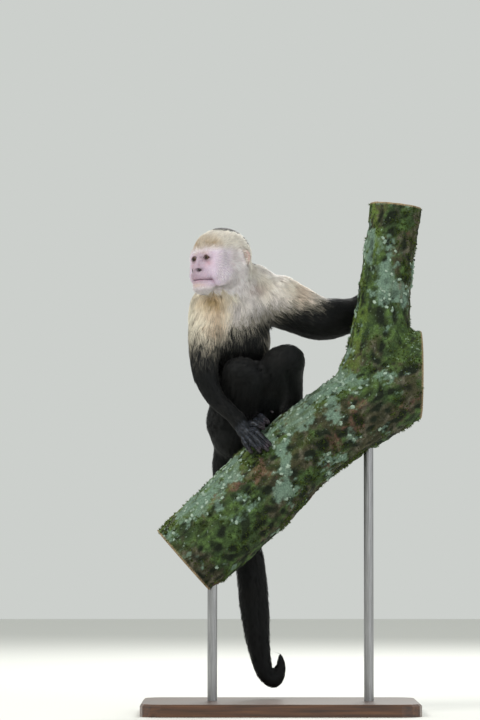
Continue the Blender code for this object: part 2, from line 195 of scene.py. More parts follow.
def set_points(mesh: Mesh, points: Array) -> None:
    """Moves the mesh's vertices to places in millimetres."""
    mesh.vertices.foreach_set("co", (points * MM).astype(np.float32).ravel())
    mesh.update()


def normals_of(mesh: Mesh) -> Array:
    """Vertex normals."""
    return read(mesh.vertices, "normal", 3, np.float32).astype(float)


def edges_of(mesh: Mesh) -> Array:
    """Pairs of joined vertices."""
    return read(mesh.edges, "vertices", 2, np.int32)


def triangles_of(mesh: Mesh) -> Array:
    """Vertex numbers of the mesh's triangles."""
    mesh.calc_loop_triangles()
    return read(mesh.loop_triangles, "vertices", 3, np.int32)


def spread(values: Array, edges: Array, rounds: int) -> Array:
    """Averages a field over neighbouring vertices.

    Args:
        values: One row, or one number, for each vertex.
        edges: Pairs of joined vertices.
        rounds: How many times to average.

    Returns:
        The smoothed field.
    """
    count = len(values)
    ends = np.concatenate((edges[:, 0], edges[:, 1]))
    others = np.concatenate((edges[:, 1], edges[:, 0]))
    weight = 1 + np.bincount(ends, minlength=count)
    field_of = values if values.ndim == 2 else values[:, None]
    for _ in range(rounds):
        sums = [np.bincount(ends, weights=column[others], minlength=count) for column in field_of.T]
        field_of = (field_of + np.stack(sums, axis=1)) / weight[:, None]
    return field_of if values.ndim == 2 else field_of[:, 0]


def relaxed(points: Array, edges: Array, weight: Array, rounds: int) -> Array:
    """Smooths places towards their neighbours' middle where the weight is above nothing.

    Args:
        points: Places, one per row.
        edges: Pairs of joined vertices.
        weight: How far each vertex moves in a round, from 0 to 1.
        rounds: How many times to smooth.

    Returns:
        The smoothed places.
    """
    near = edges[(weight[edges] > 0).any(axis=1)]
    used, flat = np.unique(near, return_inverse=True)
    patch, links, share = points[used], flat.reshape(-1, 2), weight[used][:, None]
    for _ in range(rounds):
        patch = patch + (spread(patch, links, 1) - patch) * share
    smoothed = points.copy()
    smoothed[used] = np.where(share > 0, patch, points[used])
    return smoothed


def merged_copy(node: str) -> bmesh.types.BMesh:
    """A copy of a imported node's mesh with its loose triangles joined."""
    work = bmesh.new()
    work.from_mesh(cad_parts[node].data)
    bmesh.ops.remove_doubles(work, verts=work.verts, dist=2e-6)
    return work


@dataclass(frozen=True)
class Line:
    """A line of places in millimetres that a limb follows, from the trunk outwards."""

    places: tuple[Place, ...]

    def follow(self, points: Array) -> tuple[Array, Array, Array, Array]:
        """Finds where points stand beside the line.

        Args:
            points: Places, one per row.

        Returns:
            The line's direction beside each point, the length along it, the distance from it, and the
            nearest place on it.
        """
        best = np.full(len(points), np.inf)
        along, direction, nearest = np.zeros(len(points)), np.zeros_like(points), np.zeros_like(points)
        start = 0.0
        knots = np.array(self.places, dtype=float)
        for one, two in zip(knots[:-1], knots[1:]):
            step = two - one
            length = float(np.linalg.norm(step))
            t = np.clip((points - one) @ step / length**2, 0, 1)
            place = one + t[:, None] * step
            distance = np.linalg.norm(points - place, axis=1)
            near = distance < best
            best[near], direction[near], nearest[near] = distance[near], step / length, place[near]
            along[near] = start + t[near] * length
            start += length
        return direction, along, best, nearest


class HeadAxes:
    """The head's own axes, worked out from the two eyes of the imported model."""

    eye_forward = 32.6
    pitch = math.radians(-2)

    def __init__(self) -> None:
        """Finds the axes and the origin."""
        self.eyes = {side: self.centre_of("eye_" + side) for side in ("left", "right")}
        left = (self.eyes["left"] - self.eyes["right"]).normalized()
        level_up = (Vector((0, 0, 1)) - left * left.z).normalized()
        level_forward = left.cross(level_up)
        turn = Matrix.Rotation(self.pitch, 3, left)
        self.axes = np.array([turn @ level_forward, left, turn @ level_up])
        middle = (self.eyes["left"] + self.eyes["right"]) / 2
        self.origin = np.array(middle) - self.axes[0] * self.eye_forward

    @staticmethod
    def centre_of(node: str) -> Vector:
        """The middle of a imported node's box, in millimetres."""
        low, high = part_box(node)
        return (Vector(low) + Vector(high)) / 2 / MM

    @staticmethod
    def eye_radius(side: str) -> float:
        """The radius of a packed eyeball, in millimetres."""
        low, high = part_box("eye_" + side)
        return (high[2] - low[2]) / 2 / MM

    def local(self, points: Array) -> Array:
        """Places as forward, left and up."""
        return (points - self.origin) @ self.axes.T

    def world(self, places: Array) -> Array:
        """Places given as forward, left and up, in the model's frame."""
        return np.asarray(places, dtype=float) @ self.axes + self.origin


class Part(Enum):
    """Stretches of the body that share a coat."""

    HEAD = "head"
    EAR = "ear"
    NECK = "neck"
    CHEST = "chest"
    BELLY = "belly"
    UPPER_ARM = "upper_arm"
    FOREARM = "forearm"
    HAND = "hand"
    THIGH = "thigh"
    SHIN = "shin"
    FOOT = "foot"
    TAIL = "tail"


@dataclass(frozen=True)
class Pelt:
    """The coat of one part: sizes in millimetres.

    depth is how far the tips stand over the skin, length and width are a tuft's, crowd is tufts for each
    square millimetre of skin, and stray is how far the tufts part from the lie of the coat, in radians.
    """

    depth: float
    length: float
    width: float
    crowd: float
    stray: float

    def row(self) -> list[float]:
        """The sizes as a row of numbers."""
        return [self.depth, self.length, self.width, self.crowd, self.stray]


PELTS: dict[Part, Pelt] = {
    Part.HEAD: Pelt(5.0, 12.0, 0.62, 1.10, 0.15),
    Part.EAR: Pelt(0.4, 3.0, 0.3, 0.30, 0.35),
    Part.NECK: Pelt(7.5, 22.0, 0.80, 1.0, 0.19),
    Part.CHEST: Pelt(7.5, 24.0, 0.82, 1.0, 0.17),
    Part.BELLY: Pelt(7.5, 20.0, 1.15, 0.46, 0.17),
    Part.UPPER_ARM: Pelt(6.5, 22.0, 0.85, 0.92, 0.17),
    Part.FOREARM: Pelt(4.6, 15.0, 0.9, 0.60, 0.16),
    Part.HAND: Pelt(0.6, 4.5, 0.40, 0.55, 0.16),
    Part.THIGH: Pelt(5.5, 17.0, 1.1, 0.46, 0.17),
    Part.SHIN: Pelt(4.6, 15.0, 1.0, 0.50, 0.16),
    Part.FOOT: Pelt(0.6, 4.5, 0.40, 0.50, 0.16),
    Part.TAIL: Pelt(8.0, 15.0, 1.1, 0.55, 0.22),
}

TRUNK_LINE = Line((
    (-70, 2, 640), (-64, 14, 600), (-62, 22, 540), (-61, 30, 500), (-60, 46, 440), (-66, 66, 390)))
LIMB_LINES: dict[str, Line] = {
    "arm_right": Line(((-84, 10, 600), (-104, 2, 575), (-108, -8, 536), (-108, -20, 496), (-94, -24, 458),
                       (-68, -27, 430), (-50, -34, 408), (-28, -46, 392))),
    "arm_left": Line(((-40, 22, 610), (-4, 28, 599), (26, 36, 586), (58, 44, 573), (90, 53, 574),
                      (114, 59, 580), (134, 63, 604), (150, 58, 634), (190, 30, 655))),
    "leg_right": Line(((-76, 48, 420), (-67, 12, 458), (-52, -24, 494), (-42, 10, 448), (-38, 52, 404),
                       (-30, 20, 425), (-22, -22, 432))),
    "leg_left": Line(((-30, 44, 430), (-12, 8, 474), (8, -30, 512), (15, 8, 486), (22, 50, 448),
                      (12, 20, 462), (4, -20, 455))),
    "tail": Line(((-70, 68, 392), (-76, 86, 356), (-62, 93, 290), (-45, 89, 225), (-37, 85, 154),
                  (-33, 82, 112), (-28, 79, 78), (-20, 77, 52), (-7, 77, 43), (1, 77, 56), (2, 77, 70),
                  (1, 77, 84))),
}


def flesh_nodes() -> dict[str, tuple[Part, Line]]:
    """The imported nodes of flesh, each with its part and the line that its coat follows."""
    nodes = {"head": (Part.HEAD, TRUNK_LINE), "neck": (Part.NECK, TRUNK_LINE),
             "chest": (Part.CHEST, TRUNK_LINE), "belly": (Part.BELLY, TRUNK_LINE)}
    for side in ("left", "right"):
        nodes["ear_" + side] = (Part.EAR, TRUNK_LINE)
        for part in (Part.UPPER_ARM, Part.FOREARM, Part.HAND):
            nodes[f"{part.value}_{side}"] = (part, LIMB_LINES["arm_" + side])
        for part in (Part.THIGH, Part.SHIN, Part.FOOT):
            nodes[f"{part.value}_{side}"] = (part, LIMB_LINES["leg_" + side])
    for number in range(1, 5):
        nodes[f"tail_{number}"] = (Part.TAIL, LIMB_LINES["tail"])
    return nodes


@dataclass
class Fields:
    """What is known at each vertex of the skin: places, facing, nearest node, coat and head places."""

    points: Array
    normals: Array
    edges: Array
    node: Array
    pelt: Array
    lie: Array
    local: Array
    on_head: Array


class BodyMap:
    """Tells, for any place on the body, which node it belongs to and how its coat lies."""

    spread_out = 0.5

    def __init__(self, head: HeadAxes) -> None:
        """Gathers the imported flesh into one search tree.

        Args:
            head: The head's axes.
        """
        self.head = head
        self.nodes = flesh_nodes()
        self.names = list(self.nodes)
        corners: list[list[float]] = []
        faces: list[list[int]] = []
        self.owner: list[int] = []
        for number, name in enumerate(self.names):
            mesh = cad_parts[name].data
            start = len(corners)
            corners += points_of(mesh).tolist()
            triangles = (triangles_of(mesh) + start).tolist()
            faces += triangles
            self.owner += [number] * len(triangles)
        self.tree = BVHTree.FromPolygons(corners, faces)

    def numbers(self, *starts: str) -> list[int]:
        """The numbers of the nodes whose names begin with any of the given words."""
        return [number for number, name in enumerate(self.names) if name.startswith(starts)]

    def nearest_nodes(self, points: Array) -> Array:
        """The number of the node nearest to each point."""
        return np.array(self.owner)[closest(self.tree, points)[2]]

    def bare_face(self, local: Array, softness: float = 1.0) -> Array:
        """How bare the face is, from 0 in the coat to 1 on naked skin, at places on the head.

        Args:
            local: Places as forward, left and up.
            softness: How wide the edge is, 1 for the edge of the bare skin itself.
        """
        forward, left, up = local.T
        ragged = 0.8 * wander(local, 5, 61)
        side = forward - 0.40 * np.maximum(0, -20 - up) + 0.10 * np.abs(left) - 13.5 + 2 * ragged
        brow = 12 - up - 2.2 * bell(left, 0, 7) - 0.05 * np.abs(left) + 2 * ragged
        chin = up + 0.16 * (forward - 36) + 43.0 + 1.5 * ragged
        return (ease(-6 * softness, 6.0, side) * ease(-3.5 * softness, 3.0, brow)
                * ease(-3 * softness, 3.0, chin))

    def dark_cap(self, local: Array) -> Array:
        """How far a place on the head is inside the dark cap of the crown."""
        forward, left, up = local.T
        edge = up + 2.2 * np.maximum(0, -16 - forward) - 0.15 * np.maximum(0, forward) - 36
        nape = np.minimum(19 + 0.35 * up - np.abs(left), up + 8)
        return ease(-1.5, 1.5, np.minimum(edge, nape))

    @staticmethod
    def naked_pelt(local: Array) -> Array:
        """The down on the bare face, longer round its rim."""
        _, left, up = local.T
        rim = np.maximum(ease(22, 31, np.abs(left)), np.maximum(ease(-37, -44, up), ease(3, 10, up)))
        down, fringe = Pelt(0.2, 1.8, 0.14, 0.24, 0.25), Pelt(1.2, 4.5, 0.22, 0.90, 0.20)
        return laid(np.array(down.row()), fringe.row(), rim)

    def head_pelt(self, local: Array) -> Array:
        """Coat sizes on the head.

        Args:
            local: Places as forward, left and up.

        Returns:
            A row of coat sizes for each place.
        """
        bare, cap = self.bare_face(local), self.dark_cap(local)
        forward, _, up = local.T
        cheek, crown, brow, low = (np.array(Pelt(*sizes).row()) for sizes in (
            (5.5, 13, 0.62, 1.1, 0.14), (5.5, 10.5, 0.65, 0.95, 0.14), (3, 6.5, 0.45, 1.7, 0.14),
            (6.5, 15, 0.7, 1.05, 0.18)))
        rows = np.tile(cheek, (len(local), 1))
        for weight, kind in (
            (ease(-22, -34, up), low),
            (ease(4, 20, forward) * ease(6, 16, up), brow),
            (cap, crown),
            (bare, self.naked_pelt(local)),
        ):
            rows = laid(rows, kind, weight)
        near = self.bare_face(local, 4.0)
        rows[:, :3] *= 1 - (near * (1 - bare))[:, None] * (0.75, 0.45, 0.40)
        return rows

    def head_lie(self, local: Array) -> Array:
        """The lie of the head's coat, away from the face, in the model's frame."""
        forward, left, up = local.T
        away = np.stack((np.full(len(local), -1.0), left * 0.030, (up + 8) * 0.030), axis=1)
        away[:, 2] -= 1.1 * ease(4, -26, up) + 0.5 * ease(10, -35, forward)
        away[:, 2] += 0.9 * ease(8, 16, up) * ease(16, 30, forward)
        away[:, 0] += 0.45 * ease(-20, -40, up) * ease(10, 30, forward)
        return unit(away) @ self.head.axes

    def fields(self, mesh: Mesh, rounds: int, girth_share: float) -> Fields:
        """Works out the coat at every vertex of a skin.

        Args:
            mesh: The skin.
            rounds: How far the fields are blended from part to part.
            girth_share: How deep the coat may be for the limb's radius at the skin.

        Returns:
            The fields.
        """
        points, normals, edges = points_of(mesh), normals_of(mesh), edges_of(mesh)
        node = self.nearest_nodes(points)
        local = self.head.local(points)
        pelt, lie = np.zeros((len(points), 5)), np.zeros((len(points), 3))
        girth = np.full(len(points), 1e3)
        for number, name in enumerate(self.names):
            part, line = self.nodes[name]
            here = node == number
            direction, _, distance, nearest = line.follow(points[here])
            outward = (points[here] - nearest) / np.maximum(distance, 1)[:, None]
            pelt[here], lie[here] = PELTS[part].row(), direction + self.spread_out * outward
            if part in (Part.TAIL, Part.FOREARM, Part.SHIN):
                girth[here] = distance
        on_head = node == self.names.index("head")
        pelt[on_head], lie[on_head] = self.head_pelt(local[on_head]), self.head_lie(local[on_head])
        girth = spread(np.minimum(girth, 60), edges, rounds)
        pelt = spread(pelt, edges, rounds)
        pelt[:, 0] = np.minimum(pelt[:, 0], girth_share * girth)
        bare = self.bare_face(local) * spread(on_head.astype(float), edges, 4)
        pelt = laid(pelt, self.naked_pelt(local), bare)
        lie = spread(lie, edges, rounds * 2)
        lie = unit(lie - normals * np.sum(lie * normals, axis=1, keepdims=True))
        return Fields(points, normals, edges, node, pelt, lie, local, on_head)


@dataclass(frozen=True)
class Fold:
    """A soft ridge or groove on the face: a mirrored pair of blobs pressed along the skin's normal.

    place and reach are forward, left and up in millimetres; height is negative for a hollow.
    """

    place: Place
    reach: Place
    height: float
    tilt: float = 0.0

    def press(self, local: Array) -> Array:
        """How far each place moves along its normal."""
        total = np.zeros(len(local))
        for side in (1, -1):
            forward = (local[:, 0] - self.place[0]) / self.reach[0]
            left, up = local[:, 1] - side * self.place[1], local[:, 2] - self.place[2]
            turn = self.tilt * side
            across = (left * math.cos(turn) + up * math.sin(turn)) / self.reach[1]
            rise = (up * math.cos(turn) - left * math.sin(turn)) / self.reach[2]
            total += np.exp(-(forward**2 + across**2 + rise**2))
        if self.place[1] == 0:
            total /= 2
        return total * self.height


FACE_FILLS: tuple[Fold, ...] = (
    Fold((34, 22, -31), (10, 7, 10), 3.0),
    Fold((33, 19, -42), (12, 7, 8), 3.4),
    Fold((28, 26, -40), (9, 7, 7), 1.6),
    Fold((40, 15, -20), (8, 6, 6), 0.8),
    Fold((26, 27, -12), (10, 9, 9), 0.8),
    Fold((44, 0, 9), (8, 14, 3.5), 0.7),
    Fold((40, 0, 0), (10, 4.5, 4.0), 2.2),
    Fold((38, 0, -45), (13, 14, 7), 3.5),
)
FACE_FOLDS: tuple[Fold, ...] = (
    Fold((53, 6.8, -18.6), (7, 2.6, 1.9), -3.6, -0.35),
    Fold((50, 10.2, -17.6), (6, 1.5, 3.0), 0.7, 0.2),
    Fold((54, 0, -22), (6, 1.2, 3.0), -0.5),
    Fold((42, 14.5, -21), (10, 1.3, 7), -0.45, -0.55),
    Fold((36, 18.5, -33), (8, 2.0, 2.6), -0.4, 0.4),
    Fold((40, 12.0, -8.8), (8, 7.5, 0.9), -0.4, 0.16),
    Fold((38, 13.0, -11.6), (8, 8.0, 1.0), -0.3, 0.12),
    Fold((42, 5.4, -3.4), (6, 1.5, 3.5), -0.3, 0.2),
    Fold((42, 0, -42.5), (8, 9, 3.5), 0.8),
)


@dataclass(frozen=True)
class LidShape:
    """The opening between an eye's lids, seen from the front, in millimetres from the eye's middle."""

    half_width: float = 5.5
    upper: float = 3.1
    lower: float = 2.9
    tilt: float = -0.10
    middle: float = -0.3
    thickness: float = 0.95
    crease: float = 0.55
    reach: float = 6.5

    def outside(self, out: Array, rise: Array) -> Array:
        """How far places are outside the opening; negative between the lids.

        Args:
            out: Distance from the eye's middle towards the temple.
            rise: Distance above the eye's middle.

        Returns:
            Signed distances.
        """
        out, rise = out - self.middle, rise - self.tilt * out
        part = np.clip(np.abs(out) / self.half_width, 0, 1)
        top = self.upper * (1 - part**2.1) ** 0.75
        bottom = -self.lower * (1 - part**2.0) ** 0.85
        beyond = np.maximum(np.abs(out) - self.half_width, 0)
        return np.where(beyond > 0, np.hypot(beyond, rise), np.maximum(rise - top, bottom - rise))


def refined(mesh: Mesh, wanted: Array) -> None:
    """Halves the edges of a mesh where both ends are wanted."""
    work = bmesh.new()
    work.from_mesh(mesh)
    edges = [e for e in work.edges if wanted[e.verts[0].index] and wanted[e.verts[1].index]]
    bmesh.ops.subdivide_edges(work, edges=edges, cuts=1, use_grid_fill=True, smooth=0.0)
    work.to_mesh(mesh)
    work.free()


@dataclass(frozen=True)
class Digit:
    """A finger, thumb or toe: places in millimetres at its knuckle, its middle and its tip."""

    bones: tuple[Place, Place, Place]
    outward: Place
    radius: float


class Grip:
    """Where each paw's digits lie on the perch, in millimetres and degrees round the wood."""

    limb_places: tuple[Place, Place] = ((-43, 0, 307), (29, 0, 378))
    limb_reach, stem_reach = 62.0, 40.0
    stem_foot, stem_lean = 78.6, 0.12
    arch = 3.5

    def limb(self, along: float, around: float, lift: float) -> Place:
        """A place on the sloping limb: along its axis, degrees towards the viewer, and out."""
        first, last = self.limb_places
        slope, turn = math.atan2(last[2] - first[2], last[0] - first[0]), math.radians(around)
        reach = self.limb_reach + lift
        across = reach * math.cos(turn)
        return (first[0] + along * math.cos(slope) - across * math.sin(slope), -reach * math.sin(turn),
                first[2] + along * math.sin(slope) + across * math.cos(slope))

    def stem(self, height: float, around: float, lift: float) -> Place:
        """A place on the upright stem: height, degrees from its far side to its right, and out."""
        reach, turn = self.stem_reach + lift, math.radians(around)
        return (self.stem_foot + height * self.stem_lean + reach * math.sin(turn),
                reach * math.cos(turn), height)

    def digit(self, point: Callable[..., Place], knuckle: Place, tip: Place, radius: float) -> Digit:
        """A digit from its knuckle to its tip, each given as along, around and lift."""
        middle = [(a + b) / 2 for a, b in zip(knuckle, tip)]
        middle[2] += self.arch
        outward = Vector(point(tip[0], tip[1], 10)) - Vector(point(tip[0], tip[1], 0))
        return Digit((point(*knuckle), point(*middle), point(*tip)), tuple(outward.normalized()), radius)

    def paws(self) -> dict[str, list[Digit]]:
        """The digits of all four paws, by node."""
        limb, stem = self.limb, self.stem
        hand = [((along, 27, 15), tip) for along, tip in zip(
            (54, 61, 68, 75), ((49, 44, 4.5), (58, 54, 4.5), (67, 60, 4.5), (76, 57, 4.5)))]
        hand.append(((76, 12, 21), (86, 27, 5)))
        reach = [((height, 4, 10), tip) for height, tip in zip(
            (636, 644, 652, 660), ((638, 50, 5), (648, 55, 5), (658, 54, 5), (667, 48, 5)))]
        reach.append(((660, -18, 12), (680, -28, 5)))
        right = self.toes((92, -8, 16), (-12, -4, 4, 16), (26, 31, 30, 19))
        left = self.toes((133, -8, 15), (-14, -4, 4, 12), (20, 29, 31, 26))
        return {
            "hand_right": [self.digit(limb, *ends, 4.4) for ends in hand],
            "hand_left": [self.digit(stem, *ends, 4.4) for ends in reach],
            "foot_right": [self.digit(limb, *ends, 4.9) for ends in right],
            "foot_left": [self.digit(limb, *ends, 4.9) for ends in left],
        }

    @staticmethod
    def toes(ball: Place, shifts: Sequence[float], turns: Sequence[float]) -> list[tuple[Place, Place]]:
        """Knuckles and tips of a foot's toes, fanned from its ball."""
        return [((ball[0] + shift, ball[1], ball[2]), (ball[0] + shift * 1.25, ball[1] + turn, 5))
                for shift, turn in zip(shifts, turns)]


class FaceShaper:
    """Shapes the face's lids, folds, mouth and nostrils on the skin."""

    mouth_height, mouth_half, mouth_curve = -32.9, 17.0, 0.004
    lids = LidShape()

    def __init__(self, head: HeadAxes) -> None:
        """Keeps the head's axes and the eyeball's radius."""
        self.head = head
        self.eye_radius = head.eye_radius("left")

    def refine(self, mesh: Mesh) -> None:
        """Makes the mesh finer over the face, and finer again around the eyes and the mouth."""
        for depth in range(2):
            places = self.head.local(points_of(mesh))
            wanted = (places[:, 0] > 16 + 8 * depth) & (np.abs(places[:, 1]) < 34)
            refined(mesh, wanted & (places[:, 2] > -50) & (places[:, 2] < 24 - 6 * depth))

    def calm(self, mesh: Mesh, rounds: int) -> None:
        """Smooths the steps left on the face by the coarser surface."""
        points, edges = points_of(mesh), edges_of(mesh)
        local = self.head.local(points)
        near = ease(16, 26, local[:, 0]) * ease(26, 16, local[:, 2])
        set_points(mesh, relaxed(points, edges, near * 0.9, rounds))

    def press(self, mesh: Mesh, folds: Sequence[Fold]) -> None:
        """Presses folds into the face along its normals."""
        points, normals = points_of(mesh), normals_of(mesh)
        local = self.head.local(points)
        face = (local[:, 0] > 8) & (np.abs(local[:, 1]) < 42) & (np.abs(local[:, 2] + 8) < 58)
        points[face] += normals[face] * sum(fold.press(local[face]) for fold in folds)[:, None]
        set_points(mesh, points)

    def mouth(self, mesh: Mesh) -> None:
        """Parts the lips."""
        points, normals = points_of(mesh), normals_of(mesh)
        forward, left, up = self.head.local(points).T
        line = self.mouth_height + self.mouth_curve * left**2
        reach = ease(self.mouth_half + 1.5, self.mouth_half - 2.5, np.abs(left)) * ease(24, 30, forward)
        rise = up - line
        move = reach * (-1.5 * bell(rise, 0, 0.7) + 0.35 * bell(rise, 2.3, 1.8))
        move += reach * 0.5 * bell(rise, -2.4, 2.0)
        set_points(mesh, points + normals * move[:, None])

    def eyelids(self, mesh: Mesh) -> None:
        """Draws the lids over both eyeballs and opens them.

        Args:
            mesh: The skin to change.
        """
        points = points_of(mesh)
        local = self.head.local(points)
        ring = np.zeros(len(points))
        for side, name in ((1, "left"), (-1, "right")):
            centre = self.head.local(np.array([self.head.eyes[name]]))[0]
            arm = local - centre
            distance = np.linalg.norm(arm, axis=1)
            near = (arm[:, 0] > 0) & (distance < self.eye_radius + 9)
            here, far = arm[near], distance[near]
            scale = self.eye_radius / far
            outside = self.lids.outside(here[:, 1] * side * scale, here[:, 2] * scale)
            rim = self.lids.thickness * ease(-0.15, 0.7, outside) - 0.35 * ease(1.0, 2.6, outside)
            inner = 2.6 * ease(0.1, -0.8, outside)
            wanted = self.eye_radius + 0.12 + rim - inner
            inward = ease(0, -5, here[:, 1] * side)
            pull = ease(self.lids.reach, 0.9, outside + inward * np.maximum(0, outside - 0.9))
            pull *= ease(0.2, 0.55, here[:, 0] / far)
            over = bell(here[:, 1] * side, 0, 5.5)
            crease = self.lids.crease * bell(outside, 2.6, 0.6) * ease(0, 2, here[:, 2]) * over
            fresh = far * (1 - pull) + wanted * pull
            local[near] = centre + here * ((fresh - crease) / far)[:, None]
            ring[near] = np.maximum(
                ring[near], ease(1.2 - 0.5 * inward, 2.2 - 0.8 * inward, outside) * ease(13, 8, outside))
        set_points(mesh, relaxed(self.head.world(local), edges_of(mesh), ring * 0.9, 160))


class Skin:
    """The monkey's skin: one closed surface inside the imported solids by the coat's depth."""

    seam_overlap = 0.75
    apart, apart_digits, apart_near = 2.2, 0.5, 3.4
    sink_share = 0.36
    cleft, cleft_width, knuckle = 2.5, 1.6, 11.0
    voxel = 1.15
    triangles = 150_000
    unswollen = ("head", "hand", "foot")
    neighbours = {
        "head": ("neck", "ear", "eye"), "ear": ("head",), "neck": ("head", "chest"),
        "chest": ("neck", "belly", "upper_arm"), "belly": ("chest", "thigh", "tail_1"),
        "upper_arm": ("chest", "neck", "forearm"), "forearm": ("upper_arm", "hand"), "hand": ("forearm",),
        "thigh": ("belly", "shin", "thigh", "tail_1"), "shin": ("thigh", "foot"), "foot": ("shin",),
        "tail_1": ("belly", "tail_2", "thigh"), "tail_2": ("tail_1", "tail_3"),
        "tail_3": ("tail_2", "tail_4"), "tail_4": ("tail_3",),
    }

    def __init__(self, head: HeadAxes, body: BodyMap) -> None:
        """Keeps the head's axes and the body's map."""
        self.head, self.body, self.face = head, body, FaceShaper(head)

    def may_touch(self, one: str, two: str) -> bool:
        """Whether two nodes of flesh grow together."""
        kin = self.neighbours[next(key for key in self.neighbours if one.startswith(key))]
        return one == two or any(two.startswith(name) for name in kin)

    def joined_flesh(self) -> Object:
        """The flesh nodes and eyeballs, most of them swollen a little so that no gap is left between them."""
        copies = {name: merged_copy(name) for name in [*self.body.names, "eye_left", "eye_right"]}
        trees = {name: BVHTree.FromBMesh(copy) for name, copy in copies.items()}
        work = bmesh.new()
        for name, copy in copies.items():
            copy.normal_update()
            swell = 0.0 if name.startswith(self.unswollen) else self.seam_overlap * MM
            strangers = [] if name.startswith("eye") else [
                tree for other, tree in trees.items()
                if not other.startswith("eye") and not self.may_touch(name, other)]
            near = self.apart_near * MM
            apart = (self.apart_digits if name.startswith(("hand", "foot")) else self.apart) * MM
            fresh = []
            for vertex in copy.verts:
                crowded = any(tree.find_nearest(vertex.co, near)[0] is not None for tree in strangers)
                fresh.append(vertex.co + vertex.normal * (-apart if crowded else swell))
            for vertex, place in zip(copy.verts, fresh):
                vertex.co = place
            mesh = mesh_from(copy, name)
            work.from_mesh(mesh)
            bpy.data.meshes.remove(mesh)
        return new_object(mesh_from(work, "flesh"), "flesh")

    def fused(self) -> Mesh:
        """The joined flesh as one surface, its facets rounded where the coat is deep."""
        flesh = self.joined_flesh()
        remesh = flesh.modifiers.new("fuse", "REMESH")
        remesh.mode, remesh.voxel_size = "VOXEL", self.voxel * MM
        mesh = baked(flesh)
        points, edges = points_of(mesh), edges_of(mesh)
        soft = {Part.HEAD: 0.35, Part.EAR: 0.02, Part.NECK: 1.0, Part.HAND: 0.0, Part.FOOT: 0.0,
                Part.TAIL: 0.8, Part.FOREARM: 0.4}
        weights = np.array([soft.get(self.body.nodes[name][0], 1.0) for name in self.body.names])
        weight = weights[self.body.nearest_nodes(points)]
        local = self.head.local(points)
        weight *= 1 - 0.6 * self.body.bare_face(local) * (weight == soft[Part.HEAD])
        weight = spread(weight, edges, 8)
        rounded = new_object(mesh, "rounded")
        group = rounded.vertex_groups.new(name="soft")
        levels = np.round(weight * 20) / 20
        for level in np.unique(levels):
            group.add(np.flatnonzero(levels == level).tolist(), float(level), "REPLACE")
        for rounds, name in ((90, group.name), (3, "")):
            smooth = rounded.modifiers.new("smooth", "SMOOTH")
            smooth.factor, smooth.iterations, smooth.vertex_group = 0.5, rounds, name
        return baked(rounded)

    @staticmethod
    def thickness(mesh: Mesh, fields: Fields) -> Array:
        """How far it is from each vertex through the flesh to the far side."""
        tree = BVHTree.FromPolygons(fields.points.tolist(), triangles_of(mesh).tolist())
        starts = fields.points - fields.normals * 0.3
        reach = 60.0
        found = [tree.ray_cast(start, (-normal).tolist(), reach)[3]
                 for start, normal in zip(starts.tolist(), fields.normals)]
        return np.array([reach if distance is None else distance + 0.3 for distance in found])

    def sink(self, mesh: Mesh) -> None:
        """Moves the surface inwards by the coat's depth, in steps.

        Args:
            mesh: The surface to change.
        """
        fields = self.body.fields(mesh, 50, self.sink_share)
        unswollen = self.body.numbers(*self.unswollen)
        depth = fields.pelt[:, 0] + self.seam_overlap * ~np.isin(fields.node, unswollen)
        room = self.thickness(mesh, fields) * self.sink_share
        depth = np.minimum(spread(np.minimum(depth, room), fields.edges, 16), room * 1.2)
        depth = spread(depth, fields.edges, 4)
        steps = 5
        for _ in range(steps):
            normals = unit(spread(normals_of(mesh), fields.edges, 3))
            points = points_of(mesh) - normals * (depth / steps)[:, None]
            soft = spread(points, fields.edges, 3)
            set_points(mesh, laid(points, soft, ease(2, 6, depth) * 0.8))

    def part_digits(self, mesh: Mesh) -> None:
        """Deepens the clefts between fingers and between toes.

        Args:
            mesh: The skin to change.
        """
        owner = self.body.nearest_nodes(points_of(mesh))
        refined(mesh, np.isin(owner, self.body.numbers("hand", "foot")))
        points, normals = points_of(mesh), normals_of(mesh)
        owner = self.body.nearest_nodes(points)
        for name, digits in Grip().paws().items():
            here = np.flatnonzero(owner == self.body.names.index(name))
            lines = [Line(digit.bones).follow(points[here]) for digit in digits]
            distance = np.stack([line[2] for line in lines])
            along = np.stack([line[1] for line in lines])
            order = np.argsort(distance, axis=0)
            pick = np.arange(len(here))
            first, second = distance[order[0], pick], distance[order[1], pick]
            reach = ease(0.5, 6.0, along[order[0], pick])
            cleft = bell(second, first, self.cleft_width) * reach
            knuckle = along[order[0], pick]
            bulge = 0.5 * bell(knuckle, self.knuckle, 3.0)
            move = bulge - self.cleft * cleft * ease(9, 6, first)
            points[here] += normals[here] * move[:, None]
        set_points(mesh, points)

    def build(self) -> tuple[Object, Fields]:
        """Makes the skin.

        Returns:
            The skin and its fields.
        """
        mesh = self.fused()
        log.info("fused flesh: %d faces", len(mesh.polygons))
        self.sink(mesh)
        self.part_digits(mesh)
        self.face.refine(mesh)
        self.face.calm(mesh, 14)
        self.face.press(mesh, FACE_FILLS)
        self.face.press(mesh, FACE_FOLDS)
        self.face.mouth(mesh)
        self.face.eyelids(mesh)
        made = new_object(mesh, "thinning")
        thin = made.modifiers.new("thin", "DECIMATE")
        thin.ratio = self.triangles / len(triangles_of(mesh))
        mesh = baked(made)
        mesh.shade_smooth()
        fields = self.body.fields(mesh, 24, self.sink_share / (1 - self.sink_share))
        skin = new_object(mesh, "skin")
        log.info("skin: %d triangles", len(triangles_of(mesh)))
        return skin, fields


@dataclass(frozen=True)
class Hair:
    """The colours of a kind of hair at its root and its tip."""

    root: Colour
    tip: Colour


